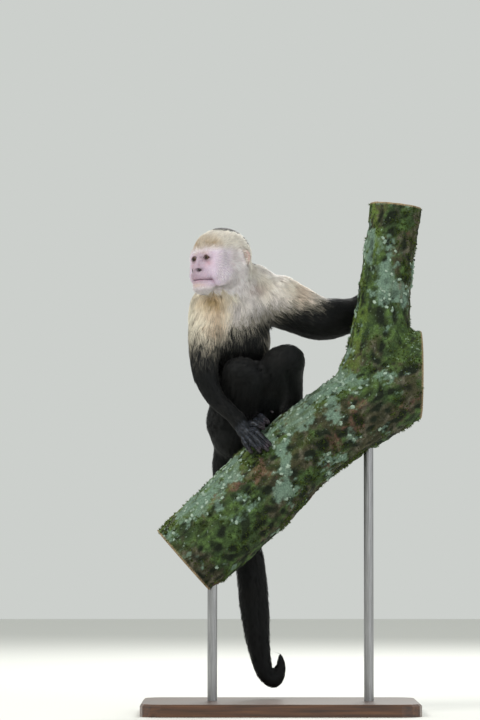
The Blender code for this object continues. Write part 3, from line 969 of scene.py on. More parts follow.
HAIRS: dict[str, Hair] = {name: Hair(linear(*root), linear(*tip)) for name, root, tip in (
    ("cream", (218, 204, 180), (252, 244, 224)),
    ("lilac", (210, 200, 204), (248, 242, 242)),
    # ash: painted shade, darker grey hair on the chest beside and below the head
    ("shaded_ash", (146, 140, 146), (200, 194, 198)),
    ("tan", (204, 168, 138), (240, 212, 182)),
    # gold: golden hair under the chin, darkened as painted shadow
    ("shadowed_gold", (146, 114, 62), (204, 172, 110)),
    ("brow", (146, 116, 86), (206, 182, 148)),
    ("fuzz", (242, 227, 236), (255, 249, 248)),
    # fold: painted shadow of the fold between the jaw and the shoulder
    ("fold", (136, 114, 114), (184, 162, 158)),
    ("cap", (14, 11, 10), (40, 33, 29)),
    ("black", (3, 4, 5), (8, 11, 13)),
    ("brown_black", (6, 5, 5), (20, 18, 15)),
    ("grizzle", (60, 57, 52), (166, 159, 144)),
    ("smoke", (12, 12, 12), (88, 86, 80)),
)}
SKINS: dict[str, Colour] = {
    "face": linear(200, 185, 204),
    "flush": linear(190, 152, 164),
    "shade": linear(128, 102, 108),
    # muzzle: painted shade on the muzzle and the upper lip
    "muzzle_shade": linear(152, 130, 144),
    "lip": linear(154, 118, 136),
    "tawny": linear(184, 162, 140),
    # dark: the lids' rims, and painted shade in the nostrils and the parting of the lips
    "dark": linear(38, 16, 28),
    "ear": linear(200, 168, 160),
    "paw": linear(56, 61, 72),
    "pad": linear(94, 80, 90),
}


class Markings:
    """The monkey's markings, shared by its skin and its coat, with some painted shade among them."""

    mantle_edge = np.array((
        (-130, 526), (-105, 538), (-85, 551), (-70, 560), (-55, 569), (-40, 577), (-25, 583), (-10, 587),
        (5, 592), (23, 594), (49, 597), (57, 599), (58, 640)))
    back_edge, right_arm_edge = 585.0, 541.0
    raggedness = 9.0

    def __init__(self, head: HeadAxes, body: BodyMap) -> None:
        """Keeps the head's axes and the body's map."""
        self.head, self.body = head, body

    def darkness(self, fields: Fields, rows: Array) -> Array:
        """How far into the black coat places are, from below 0 in the pale coat to above 1 in the black.

        Args:
            fields: The skin's fields, or the tufts' roots.
            rows: Which of them to work out.

        Returns:
            One number for each row.
        """
        points, normals, node = fields.points[rows], fields.normals[rows], fields.node[rows]
        names = self.body.names
        x, _, z = points.T
        ragged = self.raggedness * (0.7 * wander(points, 22, 3) + 0.6 * wander(points * (1, 1, 0.35), 7, 4))
        behind = ease(0.1, 0.7, normals[:, 1] - 0.5 * np.maximum(0, normals[:, 2]))
        front = np.interp(x, *self.mantle_edge.T)
        edge = front * (1 - behind) + self.back_edge * behind
        flank = 56 * bell(x, -21, 9) * ease(566, 548, z) * ease(0.35, 0.0, normals[:, 1])
        trunk = (edge + ragged - z - flank) / (54 + 0.6 * flank) + 0.5
        left_arm = (front + ragged * 0.8 - z) / 34 + 0.5
        right_edge = self.right_arm_edge + 62 * ease(
            0.05, 0.5, normals[:, 1] - 0.5 * normals[:, 0] - 0.9 * np.maximum(0, normals[:, 2]))
        right_arm = (right_edge + ragged - z) / 72 + 0.5
        dark = np.full(len(rows), 2.0)
        for name, value in (("neck", trunk), ("chest", trunk), ("belly", trunk),
                            ("upper_arm_left", left_arm), ("upper_arm_right", right_arm)):
            here = node == names.index(name)
            dark[here] = value[here]
        dark[node == names.index("head")] = -1
        dark[np.isin(node, self.body.numbers("ear"))] = -1
        return dark

    def coat(self, fields: Fields, rows: Array, chance: Array) -> tuple[Array, Array]:
        """The coat's colours at its roots.

        Args:
            fields: The tufts' roots.
            rows: Which of them to colour.
            chance: A number from 0 to 1 for each row, which settles where it falls in a ragged edge.

        Returns:
            The colours at the roots and at the tips of the tufts.
        """
        points, local = fields.points[rows], fields.local[rows]
        forward, _, up = local.T
        on_head = fields.on_head[rows]
        root, tip = (np.tile(end, (len(rows), 1)) for end in (HAIRS["cream"].root, HAIRS["cream"].tip))

        def lay(kind: str, weight: Array) -> None:
            """Lays a kind of hair over the rest, by weight."""
            nonlocal root, tip
            root, tip = laid(root, HAIRS[kind].root, weight), laid(tip, HAIRS[kind].tip, weight)

        x, _, z = points.T
        lay("lilac", (0.55 + 0.5 * wander(points, 30, 8)) * ease(-95, -50, x) * ~on_head)
        # Painted shade: darker grey hair on the chest to the right of and below the head, away from the
        # light.
        shade_beside_head = ease(-76, -58, x) * ease(4, -18, x) * ease(528, 556, z) * ease(618, 594, z) * ~on_head
        lay("shaded_ash", shade_beside_head * (0.6 + 0.7 * wander(points * (1, 1, 0.5), 13, 18)))
        breast = bell(x, -92, 17) * ease(470, 520, z) * ease(622, 600, z) * ~on_head
        breast *= ease(0.3, -0.3, fields.normals[rows, 1])
        lay("tan", breast * (0.75 + 0.5 * wander(points, 14, 15)))
        lay("tan", 0.6 * bell(x, 22, 18) * ease(565, 590, z) * ~on_head)
        # Painted shadow under the chin, on golden throat hair.
        lay("shadowed_gold", 0.8 * bell(x, -97, 14) * bell(z, 601, 8) * (up < -40))
        # Painted shadow in the fold below the jaw, between cheek and shoulder.
        lay("fold", 0.8 * bell(x, -42, 14) * bell(z, 621, 7.5))
        lay("lilac", on_head * (0.35 + 0.3 * ease(-6, -30, up)))
        brow = on_head * ease(8, 14, up) * ease(20, 32, forward) * ease(40, 18, up)
        lay("brow", brow * (0.7 + 0.6 * wander(points, 5, 9)))
        side = 0.8 * ease(18, 6, up) * ease(-24, -8, forward)
        lay("fuzz", on_head * np.maximum(self.body.bare_face(local, 2.4), side))
        lay("cap", on_head * (self.body.dark_cap(local) > 0.25 + 0.5 * chance))
        dark = self.darkness(fields, rows)
        mixed = dark + (chance - 0.5) * 0.66
        lay("grizzle", ease(0.0, 0.5, mixed) * (dark > 0))
        lay("black", ease(0.45, 0.72, mixed))
        lay("smoke", 0.8 * ease(1.3, 0.8, dark) * ease(0.4, 0.6, dark) * (chance * 7.3 % 1 > 0.78))
        lay("brown_black", 0.35 * (dark > 0.9) * (wander(points, 40, 10) > 0.1))
        return root, tip

    def skin(self, fields: Fields) -> Array:
        """The skin's colours: bare skin, or the coat's own colour where it is covered.

        Args:
            fields: The skin's fields.

        Returns:
            A colour for each vertex.
        """
        rows = np.arange(len(fields.points))
        root, tip = self.coat(fields, rows, np.full(len(rows), 0.5))
        colour = root * 0.75 + tip * 0.25
        forward, left, up = fields.local.T
        side = np.abs(left)
        bare = np.tile(SKINS["face"], (len(rows), 1))

        def lay(kind: str, weight: Array) -> None:
            """Lays a tone of skin over the rest, by weight."""
            nonlocal bare
            bare = laid(bare, SKINS[kind], weight)

        blotch = wander(fields.points, 6, 12)
        lay("flush", 0.22 + 0.25 * blotch)
        lay("face", ease(14, 22, side) * 0.6)
        lay("shade", 0.75 * bell(side, 12.75, 8.5) * bell(up, -1, 6.5))
        lay("flush", 0.8 * bell(side, 16, 6) * bell(up, -9, 3.5))
        lay("shade", 0.35 * bell(side, 0, 7) * ease(-22, -12, up))
        # Painted shade on the muzzle and upper lip, the front of the face turned from the light.
        lay("muzzle_shade", 0.95 * bell(side, 0, 15) * bell(up, -24, 14))
        line = FaceShaper.mouth_height + FaceShaper.mouth_curve * left**2
        lay("lip", 0.7 * bell(up, line, 3.0) * ease(19, 15, side) * ease(24, 30, forward))
        # Painted shade in the parting of the lips.
        lay("dark", 0.6 * bell(up, line, 0.55) * ease(18, 16, side) * ease(24, 30, forward))
        lay("tawny", 0.7 * bell(side, 0, 14) * bell(up, -41, 4))
        lay("tawny", 0.5 * bell(side, 9, 7) * bell(up, 8, 3.5))
        # Painted shade in the nostrils.
        lay("dark", 1.5 * bell(side, 6.9, 3.3) * bell(up, -18.6, 2.5) * ease(40, 46, forward))
        for name in ("left", "right"):
            centre = self.head.local(np.array([self.head.eyes[name]]))[0]
            arm = fields.local - centre
            sign = 1 if name == "left" else -1
            outside = FaceShaper.lids.outside(arm[:, 1] * sign, arm[:, 2])
            lay("shade", 0.7 * ease(2.6, 0.8, outside) * (arm[:, 0] > 2))
            lay("dark", 0.9 * ease(1.1, 0.3, outside) * (arm[:, 0] > 2))
        weight = self.body.bare_face(fields.local) * fields.on_head
        for kind, prefix in (("ear", "ear"), ("paw", "hand"), ("paw", "foot")):
            here = np.isin(fields.node, self.body.numbers(prefix))
            shade = 0.85 + 0.3 * wander(fields.points[here], 5, 14)
            bare[here] = np.array(SKINS[kind]) * shade[:, None]
            weight = np.where(here, 0.95, weight)
        for digits in Grip().paws().values():
            for digit in digits:
                near = np.linalg.norm(fields.points - np.array(digit.bones[2]), axis=1)
                lay("pad", 0.65 * ease(11, 3, near))
        return laid(colour, bare, spread(weight.astype(float), fields.edges, 3))


def paint(mesh: Mesh, name: str, colours: Array) -> None:
    """Writes a colour for each vertex of a mesh."""
    rows = np.ones((len(mesh.vertices), 4), dtype=np.float32)
    rows[:, :3] = np.clip(colours, 0, 1)
    mesh.color_attributes.new(name, "FLOAT_COLOR", "POINT").data.foreach_set("color", rows.ravel())


@dataclass(frozen=True)
class CoatPlan:
    """How tufts are laid: sizes in millimetres, shares of a length, and the budget of triangles."""

    budget: int = 1_470_000
    piece_limit: int = 195_000
    clump: float = 5.0
    clump_pull: float = 0.45
    patch: float = 0.003
    seed: int = 11


COAT_GROUPS: dict[str, tuple[str, ...]] = {
    "coat_head": ("head", "ear_left", "ear_right"),
    "coat_neck": ("neck",),
    "coat_chest": ("chest",),
    "coat_belly": ("belly",),
    "coat_arm_left": ("upper_arm_left", "forearm_left", "hand_left"),
    "coat_arm_right": ("upper_arm_right", "forearm_right", "hand_right"),
    "coat_leg_left": ("thigh_left", "shin_left", "foot_left"),
    "coat_leg_right": ("thigh_right", "shin_right", "foot_right"),
    "coat_tail_upper": ("tail_1", "tail_2"),
    "coat_tail_lower": ("tail_3", "tail_4"),
}


class Coat:
    """The coat: solid tufts rooted on the skin, lying along the body in overlapping clumps."""

    streaks, triangles_each, roundness = (4.5, 1.4), 10, 0.45
    spans, rises, widths, pulls = (0.0, 0.48, 1.0), (-0.08, 0.80, 1.0), (0.75, 1.0), (0.0, 0.4, 1.0)
    section = ((-1, -0.15), (0, 0.36), (1, -0.15))

    def __init__(self, skin: Object, fields: Fields, markings: Markings, plan: CoatPlan) -> None:
        """Keeps the skin and plans the tufts' roots.

        Args:
            skin: The skin.
            fields: The skin's fields.
            markings: The monkey's markings.
            plan: Sizes and budget.
        """
        self.fields, self.markings, self.plan = fields, markings, plan
        self.triangles = triangles_of(skin.data)
        self.tree = BVHTree.FromPolygons(fields.points.tolist(), self.triangles.tolist())
        self.random = np.random.default_rng(plan.seed)
        self.roots()

    def roots(self) -> None:
        """Scatters the roots over the skin by the coat's density, within the budget."""
        corners = self.fields.points[self.triangles]
        one, two, three = (corners[:, corner] for corner in range(3))
        area = np.linalg.norm(np.cross(two - one, three - one), axis=1) / 2
        pelt = self.fields.pelt[self.triangles].mean(axis=1)
        wanted = area * pelt[:, 3]
        wanted *= self.plan.budget / (self.triangles_each * float(wanted.sum()))
        count = np.floor(wanted + self.random.random(len(wanted))).astype(int)
        face = np.repeat(np.arange(len(count)), count)
        share = self.random.random((len(face), 2))
        fold = share.sum(axis=1) > 1
        share[fold] = 1 - share[fold]
        weight = np.stack((1 - share.sum(axis=1), share[:, 0], share[:, 1]), axis=1)
        corner = self.triangles[face]

        def blend(values: Array) -> Array:
            """The skin's values at the roots."""
            return np.einsum("ij,ijk->ik", weight, values[corner])

        fields = self.fields
        nearest = corner[np.arange(len(face)), np.argmax(weight, axis=1)]
        self.face = face
        self.root = Fields(
            blend(fields.points), unit(blend(fields.normals)), fields.edges[:0], fields.node[nearest],
            blend(fields.pelt), unit(blend(fields.lie)), blend(fields.local), fields.on_head[nearest])
        log.info("coat: %d tufts", len(face))

    def clumps(self) -> tuple[Array, Array]:
        """Groups the roots: the root in the middle of each one's clump, and a number shared by a clump."""
        count = len(self.face)
        points = self.root.points
        size = np.clip(self.root.pelt[:, 1] / 16, 0.45, 1.3) * self.plan.clump
        crowd = np.maximum(self.root.pelt[:, 3], 0.05)
        share = np.clip(1.6 / (crowd * size**2), 0.01, 1.0)
        middles = np.flatnonzero(self.random.random(count) < share)
        tree = KDTree(len(middles))
        for number, middle in enumerate(middles):
            tree.insert(points[middle], number)
        tree.balance()
        found = np.array([tree.find(point)[1] for point in points])
        return middles[found], self.random.random(len(middles))[found]

    def paths(self) -> None:
        """Lays every tuft along the skin, and draws each towards the middle of its clump."""
        root, random = self.root, self.random
        count = len(self.face)
        self.middle, self.clump_chance = self.clumps()
        sway = 0.16 * wander(root.points, 16, 21) + 0.10 * wander(root.points, 6, 22)
        middle_turn = random.normal(0, 1, count)[self.middle]
        stray = root.pelt[:, 4]
        turn = stray * (0.75 * random.normal(0, 1, count) + 0.8 * middle_turn) + sway * stray / 0.16
        side = np.cross(root.normals, root.lie)
        direction = unit(root.lie * np.cos(turn)[:, None] + side * np.sin(turn)[:, None])
        length = root.pelt[:, 1] * random.uniform(0.72, 1.12, count)
        lift = root.pelt[:, 0] * np.clip(random.normal(0.86, 0.13, count), 0.4, 1.08)
        self.path, self.up = np.zeros((3, count, 3)), np.zeros((3, count, 3))
        pull = self.plan.clump_pull * random.uniform(0.5, 1.1, count)
        for step in range(3):
            ahead, facing = root.points + direction * (length * self.spans[step])[:, None], root.normals
            if step:
                ahead, facing, _ = closest(self.tree, ahead)
            self.path[step], self.up[step] = ahead + facing * (lift * self.rises[step])[:, None], facing
            middle = self.path[step][self.middle]
            self.path[step] += (middle - self.path[step]) * (pull * self.pulls[step])[:, None]
        self.width = root.pelt[:, 2] * random.uniform(0.7, 1.25, count)

    def colours(self) -> None:
        """Colours every tuft, with some difference from clump to clump and from tuft to tuft."""
        rows = np.arange(len(self.face))
        chance = 0.35 * self.clump_chance + 0.65 * self.random.random(len(rows))
        self.root_colour, self.tip_colour = self.markings.coat(self.root, rows, chance)
        shade = 1 + 0.24 * (self.clump_chance - 0.5) + self.random.normal(0, 0.08, len(rows))
        shade = np.clip(shade * (1 + 0.10 * wander(self.root.points, 12, 31)), 0.6, 1.4)[:, None]
        self.root_colour, self.tip_colour = self.root_colour * shade, self.tip_colour * shade

    def tufts(self, rows: Array) -> tuple[Array, ...]:
        """Faces, points, colours, patch places and soft facings of tufts with a triangle section.

        Args:
            rows: The tufts.

        Returns:
            Triangles, points, colours, and for each point its place across its patch and its facing.
        """
        count, steps = len(rows), len(self.widths)
        path, up = self.path[:, rows], self.up[:, rows]
        points, colours, across, facing = [], [], [], []
        for step in range(steps):
            ahead = unit(path[step + 1] - path[max(step - 1, 0)])
            side = unit(np.cross(ahead, up[step]))
            rise = np.cross(side, ahead)
            half = (self.width[rows] * self.widths[step] / 2)[:, None]
            blend = self.spans[step] ** 0.8
            tone = self.root_colour[rows] * (1 - blend) + self.tip_colour[rows] * blend
            for wide, high in self.section:
                points.append(path[step] + side * half * wide + rise * half * high)
                colours.append(tone)
                across.append(np.tile((wide / 2, self.spans[step] - 0.5), (count, 1)))
                facing.append(unit(up[step] + side * wide * self.roundness))
        points.append(path[steps])
        facing.append(up[steps])
        colours.append(self.tip_colour[rows])
        across.append(np.tile((0.0, 0.5), (count, 1)))
        size = 3 * steps + 1
        pattern = [(2, 1, 0)]
        for step in range(steps - 1):
            for corner in range(3):
                a, b = 3 * step + corner, 3 * step + (corner + 1) % 3
                pattern += [(b, a + 3, a), (b + 3, a + 3, b)]
        pattern += [(size - 4 + (corner + 1) % 3, size - 1, size - 4 + corner) for corner in range(3)]
        faces = (np.arange(count)[:, None, None] * size + np.array(pattern)[None]).reshape(-1, 3)
        stack = (np.stack(kind, axis=1).reshape(count * size, -1)
                 for kind in (points, colours, across, facing))
        return (faces, *stack)

    def unwrapped(self, numbers: Sequence[int], rows: Array) -> Array:
        """Where each tuft's root falls on an unwrap of the skin under its group.

        Args:
            numbers: The numbers of the group's nodes.
            rows: The group's tufts.

        Returns:
            A place for each tuft.
        """
        mine = np.isin(self.fields.node[self.triangles], numbers).any(axis=1)
        mine[np.unique(self.face[rows])] = True
        used, faces = np.unique(self.triangles[mine], return_inverse=True)
        mesh = new_mesh(self.fields.points[used], faces.reshape(-1, 3), "unwrap")
        patch = new_object(mesh, "unwrap")
        thin = patch.modifiers.new("thin", "DECIMATE")
        thin.ratio = min(1.0, 2500 / max(len(faces.reshape(-1, 3)), 1))
        patch = new_object(baked(patch), "unwrap")
        bpy.context.view_layer.objects.active = patch
        patch.select_set(True)
        bpy.ops.object.mode_set(mode="EDIT")
        bpy.ops.mesh.select_all(action="SELECT")
        bpy.ops.uv.smart_project(angle_limit=math.radians(66), island_margin=0.01)
        bpy.ops.object.mode_set(mode="OBJECT")
        mesh = patch.data
        flat = read(mesh.uv_layers.active.data, "uv", 2, float)
        corners, places = triangles_of(mesh), points_of(mesh)
        loops = read(mesh.loop_triangles, "loops", 3, np.int32)
        tree = BVHTree.FromPolygons(places.tolist(), corners.tolist())
        spot, _, face = closest(tree, self.root.points[rows])
        a, b, c = (places[corners[face][:, k]] for k in range(3))
        whole = np.cross(b - a, c - a)
        area = np.maximum((whole**2).sum(axis=1), 1e-12)
        share_b = ((np.cross(spot - a, c - a) * whole).sum(axis=1) / area)[:, None]
        share_c = ((np.cross(b - a, spot - a) * whole).sum(axis=1) / area)[:, None]
        uv = flat[loops[face]]
        bpy.data.objects.remove(patch)
        return uv[:, 0] * (1 - share_b - share_c) + uv[:, 1] * share_b + uv[:, 2] * share_c

    def piece(self, name: str, numbers: Sequence[int], rows: Array) -> Object:
        """One coat piece.

        Args:
            name: The piece's name.
            numbers: The numbers of its group's nodes.
            rows: Its tufts.

        Returns:
            The piece.
        """
        faces, points, tone, across, facing = self.tufts(rows)
        size = len(points) // len(rows)
        mesh = new_mesh(points, faces, name)
        mesh.shade_smooth()
        mesh.normals_split_custom_set_from_vertices(facing)
        paint(mesh, "tint", tone)
        own = np.repeat(self.random.uniform(0, 90, len(rows)), size)
        strand = mesh.attributes.new("strand", "FLOAT_VECTOR", "POINT")
        streaked = np.column_stack((across * self.streaks, own))
        strand.data.foreach_set("vector", streaked.astype(np.float32).ravel())
        layer = mesh.uv_layers.new(name="OFBake")
        corner = read(mesh.loops, "vertex_index", 1, np.int32)[:, 0]
        patches = np.repeat(self.unwrapped(numbers, rows), size, axis=0) + across * self.plan.patch
        places = np.clip(patches, 0.001, 0.999)[corner]
        layer.data.foreach_set("uv", places.astype(np.float32).ravel())
        return new_object(mesh, name)

    def build(self) -> list[Object]:
        """Makes all the coat's pieces, each within the limit."""
        self.paths()
        self.colours()
        made = []
        for group, nodes in COAT_GROUPS.items():
            numbers = [self.markings.body.names.index(name) for name in nodes]
            rows = np.flatnonzero(np.isin(self.root.node, numbers))
            parts = math.ceil(self.triangles_each * len(rows) / self.plan.piece_limit)
            order = np.argsort(self.root.points[rows] @ np.array((1.0, 0.25, 0.1)))
            for number, chosen in enumerate(np.array_split(rows[order], parts)):
                name = group if parts == 1 else f"{group}_{number + 1}"
                made.append(self.piece(name, numbers, chosen))
                log.info("%s: %d triangles", name, len(made[-1].data.polygons))
        return made


class Nodes:
    """Builds a material's node tree by name."""

    def __init__(self, name: str) -> None:
        """Makes a material with an empty tree.

        Args:
            name: The material's name.
        """
        self.material = bpy.data.materials.new(name)
        self.material.use_nodes = True
        self.tree = self.material.node_tree
        self.tree.nodes.clear()
        self.shader = self.add("ShaderNodeBsdfPrincipled")
        self.link(self.shader.outputs[0], self.add("ShaderNodeOutputMaterial").inputs["Surface"])

    def add(self, kind: str, **settings: object) -> bpy.types.Node:
        """A node with its properties set."""
        made = self.tree.nodes.new(kind)
        for key, value in settings.items():
            setattr(made, key, value)
        return made

    def link(self, source: Socket, target: Socket) -> None:
        """Joins two sockets."""
        self.tree.links.new(source, target)

    def set(self, **values: object) -> None:
        """Sets the shader's own sockets, named with underscores for spaces."""
        for key, value in values.items():
            self.shader.inputs[key.replace("_", " ")].default_value = value

    def place(self) -> Socket:
        """The object's own coordinates."""
        return self.add("ShaderNodeTexCoord").outputs["Object"]

    def noise(self, size: float, detail: float = 3.0, stretch: Place = (1, 1, 1)) -> Socket:
        """Noise with blobs of a size in metres, stretched along the axes."""
        turn = self.add("ShaderNodeMapping")
        turn.inputs["Scale"].default_value = tuple(1 / (size * s) for s in stretch)
        self.link(self.place(), turn.inputs["Vector"])
        texture = self.add("ShaderNodeTexNoise")
        texture.inputs["Scale"].default_value = 1.0
        texture.inputs["Detail"].default_value = detail
        self.link(turn.outputs[0], texture.inputs["Vector"])
        return texture.outputs["Fac"]

    def ramp(self, source: Socket, stops: Sequence[tuple[float, Colour]]) -> Socket:
        """Colours laid along a number."""
        made = self.add("ShaderNodeValToRGB")
        band = made.color_ramp
        while len(band.elements) < len(stops):
            band.elements.new(0.5)
        for element, (place, colour) in zip(band.elements, stops):
            element.position, element.color = place, (*colour, 1)
        self.link(source, made.inputs[0])
        return made.outputs[0]

    def spread_to(self, source: Socket, low: float, high: float) -> Socket:
        """A number from 0 to 1 spread between two limits."""
        made = self.add("ShaderNodeMapRange")
        made.inputs["To Min"].default_value, made.inputs["To Max"].default_value = low, high
        self.link(source, made.inputs["Value"])
        return made.outputs[0]

    def mix(self, kind: str, share: object, one: object, two: object) -> Socket:
        """Two colours mixed; share, one and two are sockets or plain values."""
        made = self.add("ShaderNodeMix", data_type="RGBA", blend_type=kind)
        for socket, value in ((made.inputs[0], share), (made.inputs[6], one), (made.inputs[7], two)):
            if isinstance(value, Socket):
                self.link(value, socket)
            else:
                socket.default_value = value if isinstance(value, float) else (*value, 1)
        return made.outputs[2]

    def tint(self, name: str) -> Socket:
        """The colour stored in a mesh attribute."""
        return self.add("ShaderNodeAttribute", attribute_name=name).outputs["Color"]

    def bump(self, source: Socket, depth: float, strength: float = 1.0) -> None:
        """Raises the surface by a number, in metres, over any bump already there."""
        made = self.add("ShaderNodeBump")
        made.inputs["Strength"].default_value, made.inputs["Distance"].default_value = strength, depth
        self.link(source, made.inputs["Height"])
        socket = self.shader.inputs["Normal"]
        if socket.is_linked:
            self.link(socket.links[0].from_socket, made.inputs["Normal"])
        self.link(made.outputs[0], socket)


@dataclass(frozen=True)
class SkinFinish:
    """Bare skin: soft, faintly moist, finely creased."""

    crease: float = 0.0011
    pore: float = 0.00045

    def material(self) -> Material:
        """Builds the material."""
        nodes = Nodes("skin")
        shade = nodes.spread_to(nodes.noise(0.0035, 4), 0.86, 1.12)
        nodes.link(nodes.mix("MULTIPLY", 1.0, nodes.tint("tint"), shade), nodes.shader.inputs["Base Color"])
        nodes.bump(nodes.noise(self.crease, 5, (1.0, 1.0, 0.55)), 0.00022, 0.55)
        nodes.bump(nodes.noise(self.pore, 2), 0.00008, 0.5)
        nodes.link(nodes.spread_to(nodes.noise(0.004), 0.42, 0.60), nodes.shader.inputs["Roughness"])
        nodes.set(Subsurface_Weight=0.10, Subsurface_Radius=(1.0, 0.45, 0.3), Subsurface_Scale=0.003,
                  Specular_IOR_Level=0.4)
        return nodes.material


@dataclass(frozen=True)
class HairFinish:
    """Hair: coloured by its tuft, with a silky sheen and streaks along it."""

    roughness: float = 0.55
    streaks: tuple[float, float] = (0.74, 1.22)

    def material(self) -> Material:
        """Builds the material."""
        nodes = Nodes("coat")
        streak = nodes.add("ShaderNodeTexNoise")
        streak.inputs["Scale"].default_value, streak.inputs["Detail"].default_value = 1.6, 1.5
        nodes.link(nodes.add("ShaderNodeAttribute", attribute_name="strand").outputs["Vector"],
                   streak.inputs["Vector"])
        shade = nodes.spread_to(streak.outputs["Fac"], *self.streaks)
        nodes.link(nodes.mix("MULTIPLY", 1.0, nodes.tint("tint"), shade), nodes.shader.inputs["Base Color"])
        nodes.bump(streak.outputs["Fac"], 0.0005, 0.7)
        nodes.set(Roughness=self.roughness, Specular_IOR_Level=0.25, Sheen_Weight=0.06, Sheen_Roughness=0.4)
        return nodes.material


@dataclass(frozen=True)
class EyeFinish:
    """A wet eye: black pupil, dark brown iris, darker rim."""

    pupil: float = 0.20
    iris: float = 0.62

    def material(self) -> Material:
        """Builds the material."""
        nodes = Nodes("eye")
        ring = nodes.add("ShaderNodeAttribute", attribute_name="ring").outputs["Fac"]
        tone = nodes.ramp(ring, (
            (0.0, linear(4, 3, 3)), (self.pupil, linear(5, 4, 3)), (self.pupil + 0.03, linear(52, 32, 18)),
            (0.45, linear(80, 50, 28)), (self.iris - 0.05, linear(32, 20, 14)),
            (self.iris + 0.02, linear(14, 9, 8)), (0.80, linear(60, 44, 42))))
        fleck = nodes.spread_to(nodes.noise(0.0007, 3), 0.7, 1.3)
        nodes.link(nodes.mix("MULTIPLY", 1.0, tone, fleck), nodes.shader.inputs["Base Color"])
        nodes.set(Roughness=0.3, Coat_Weight=0.6, Coat_Roughness=0.03, Specular_IOR_Level=0.1)
        return nodes.material


@dataclass(frozen=True)
class BarkFinish:
    """Bark coloured by its own attribute, rough and finely pitted."""

    def material(self) -> Material:
        """Builds the material."""
        nodes = Nodes("bark")
        fine = nodes.spread_to(nodes.noise(0.0022, 5), 0.20, 1.85)
        tone = nodes.mix("MULTIPLY", 1.0, nodes.tint("tint"), fine)
        speck = nodes.ramp(nodes.noise(0.0035, 5), ((0.60, (0, 0, 0)), (0.66, (1, 1, 1))))
        # Pale lichen specks by the bark's attribute, thicker on upward faces as painted light.
        amount = nodes.mix("MULTIPLY", 1.0, speck, nodes.tint("crust"))
        nodes.link(nodes.mix("MIX", amount, tone, linear(156, 176, 160)), nodes.shader.inputs["Base Color"])
        nodes.bump(nodes.noise(0.0050, 8), 0.0040, 1.0)
        nodes.bump(nodes.noise(0.0014, 4), 0.0008, 1.0)
        nodes.set(Roughness=0.9, Specular_IOR_Level=0.2)
        return nodes.material


@dataclass(frozen=True)
class GrainFinish:
    """A finish toned by one stretched noise, with relief (depth, strength) and its own settings."""

    name: str
    size: float
    tones: tuple[tuple[float, Colour], ...]
    stretch: Place = (1, 1, 1)
    relief: tuple[float, float] = (0.0003, 0.5)
    gloss: tuple[float, float] = (0.9, 0.9)
    settings: dict[str, float] = field(default_factory=dict)

    def material(self) -> Material:
        """Builds the material."""
        nodes = Nodes(self.name)
        grain = nodes.noise(self.size, 5, self.stretch)
        nodes.link(nodes.ramp(grain, self.tones), nodes.shader.inputs["Base Color"])
        nodes.link(nodes.spread_to(grain, *self.gloss), nodes.shader.inputs["Roughness"])
        nodes.bump(grain, *self.relief)
        nodes.set(**self.settings)
        return nodes.material


NAIL = GrainFinish("nail", 0.002, ((0.3, linear(24, 22, 26)), (0.7, linear(44, 39, 44))),
                   relief=(0.0001, 0.3), gloss=(0.38, 0.46), settings={"Specular_IOR_Level": 0.4})
WOOD = GrainFinish("base_wood", 0.004, (
    (0.25, linear(46, 28, 18)), (0.55, linear(84, 52, 32)), (0.8, linear(112, 74, 46))), (22, 1, 1),
    gloss=(0.30, 0.42), settings={"Coat_Weight": 0.25, "Coat_Roughness": 0.25})
STEEL = GrainFinish("rod_steel", 0.0006, ((0.2, linear(120, 120, 122)), (0.8, linear(186, 186, 188))),
                    (1, 1, 60), (0.00005, 0.4), (0.28, 0.42), {"Metallic": 1.0})


class Eyes:
    """Both eyeballs, each a closed ball with a bulging cornea, looking along the head."""

    turns, rings = 48, 40
    bulge, bulge_reach = 0.45, 0.62
    droop = 0.05
    shrink = 0.15

    def __init__(self, head: HeadAxes) -> None:
        """Keeps the head's axes."""
        self.head = head

    def ball(self, side: str) -> Object:
        """One eyeball.

        Args:
            side: left or right.

        Returns:
            The eyeball.
        """
        radius = self.head.eye_radius(side) - self.shrink
        angle = np.linspace(0, math.pi, self.rings + 1)[1:-1]
        around = np.arange(self.turns) / self.turns * math.tau
        grid_angle, grid_turn = np.meshgrid(angle, around, indexing="ij")
        cornea = self.bulge * np.clip(1 - (grid_angle / self.bulge_reach) ** 2, 0, 1)
        reach = radius + cornea
        places = np.stack((reach * np.cos(grid_angle), reach * np.sin(grid_angle) * np.cos(grid_turn),
                           reach * np.sin(grid_angle) * np.sin(grid_turn)), axis=2).reshape(-1, 3)
        places = np.vstack((places, ((radius + self.bulge, 0, 0), (-radius, 0, 0))))
        faces = []
        for ring in range(self.rings - 2):
            for turn in range(self.turns):
                a, b = ring * self.turns + turn, ring * self.turns + (turn + 1) % self.turns
                faces += [(a, a + self.turns, b), (b, a + self.turns, b + self.turns)]
        front, back, last = len(places) - 2, len(places) - 1, (self.rings - 2) * self.turns
        for turn in range(self.turns):
            faces += [(turn, (turn + 1) % self.turns, front)]
            faces += [(last + (turn + 1) % self.turns, last + turn, back)]
        tip = Matrix.Rotation(self.droop, 3, "Y")
        places = places @ np.array(tip).T @ self.head.axes + np.array(self.head.eyes[side])
        mesh = new_mesh(places, np.array(faces), "eyeball_" + side)
        mesh.shade_smooth()
        ring = np.append(grid_angle.ravel(), (0.0, math.pi))
        mesh.attributes.new("ring", "FLOAT", "POINT").data.foreach_set("value", ring.astype(np.float32))
        return new_object(mesh, "eyeball_" + side)

    def build(self) -> list[Object]:
        """Makes both eyeballs."""
        return [self.ball(side) for side in ("left", "right")]


@dataclass(frozen=True)
class NailShape:
    """A nail plate: half sizes in millimetres along, across and up, its seat and how far it is bowed.

    It is set back from the tip by back, and out from its middle by a share of the digit's radius less sunk.
    """

    length: float = 3.6
    width: float = 2.0
    height: float = 0.9
    back: float = 1.2
    radius_share: float = 0.82
    sunk: float = 0.1
    side_bow: float = 1.1
    tip_bow: float = 0.6


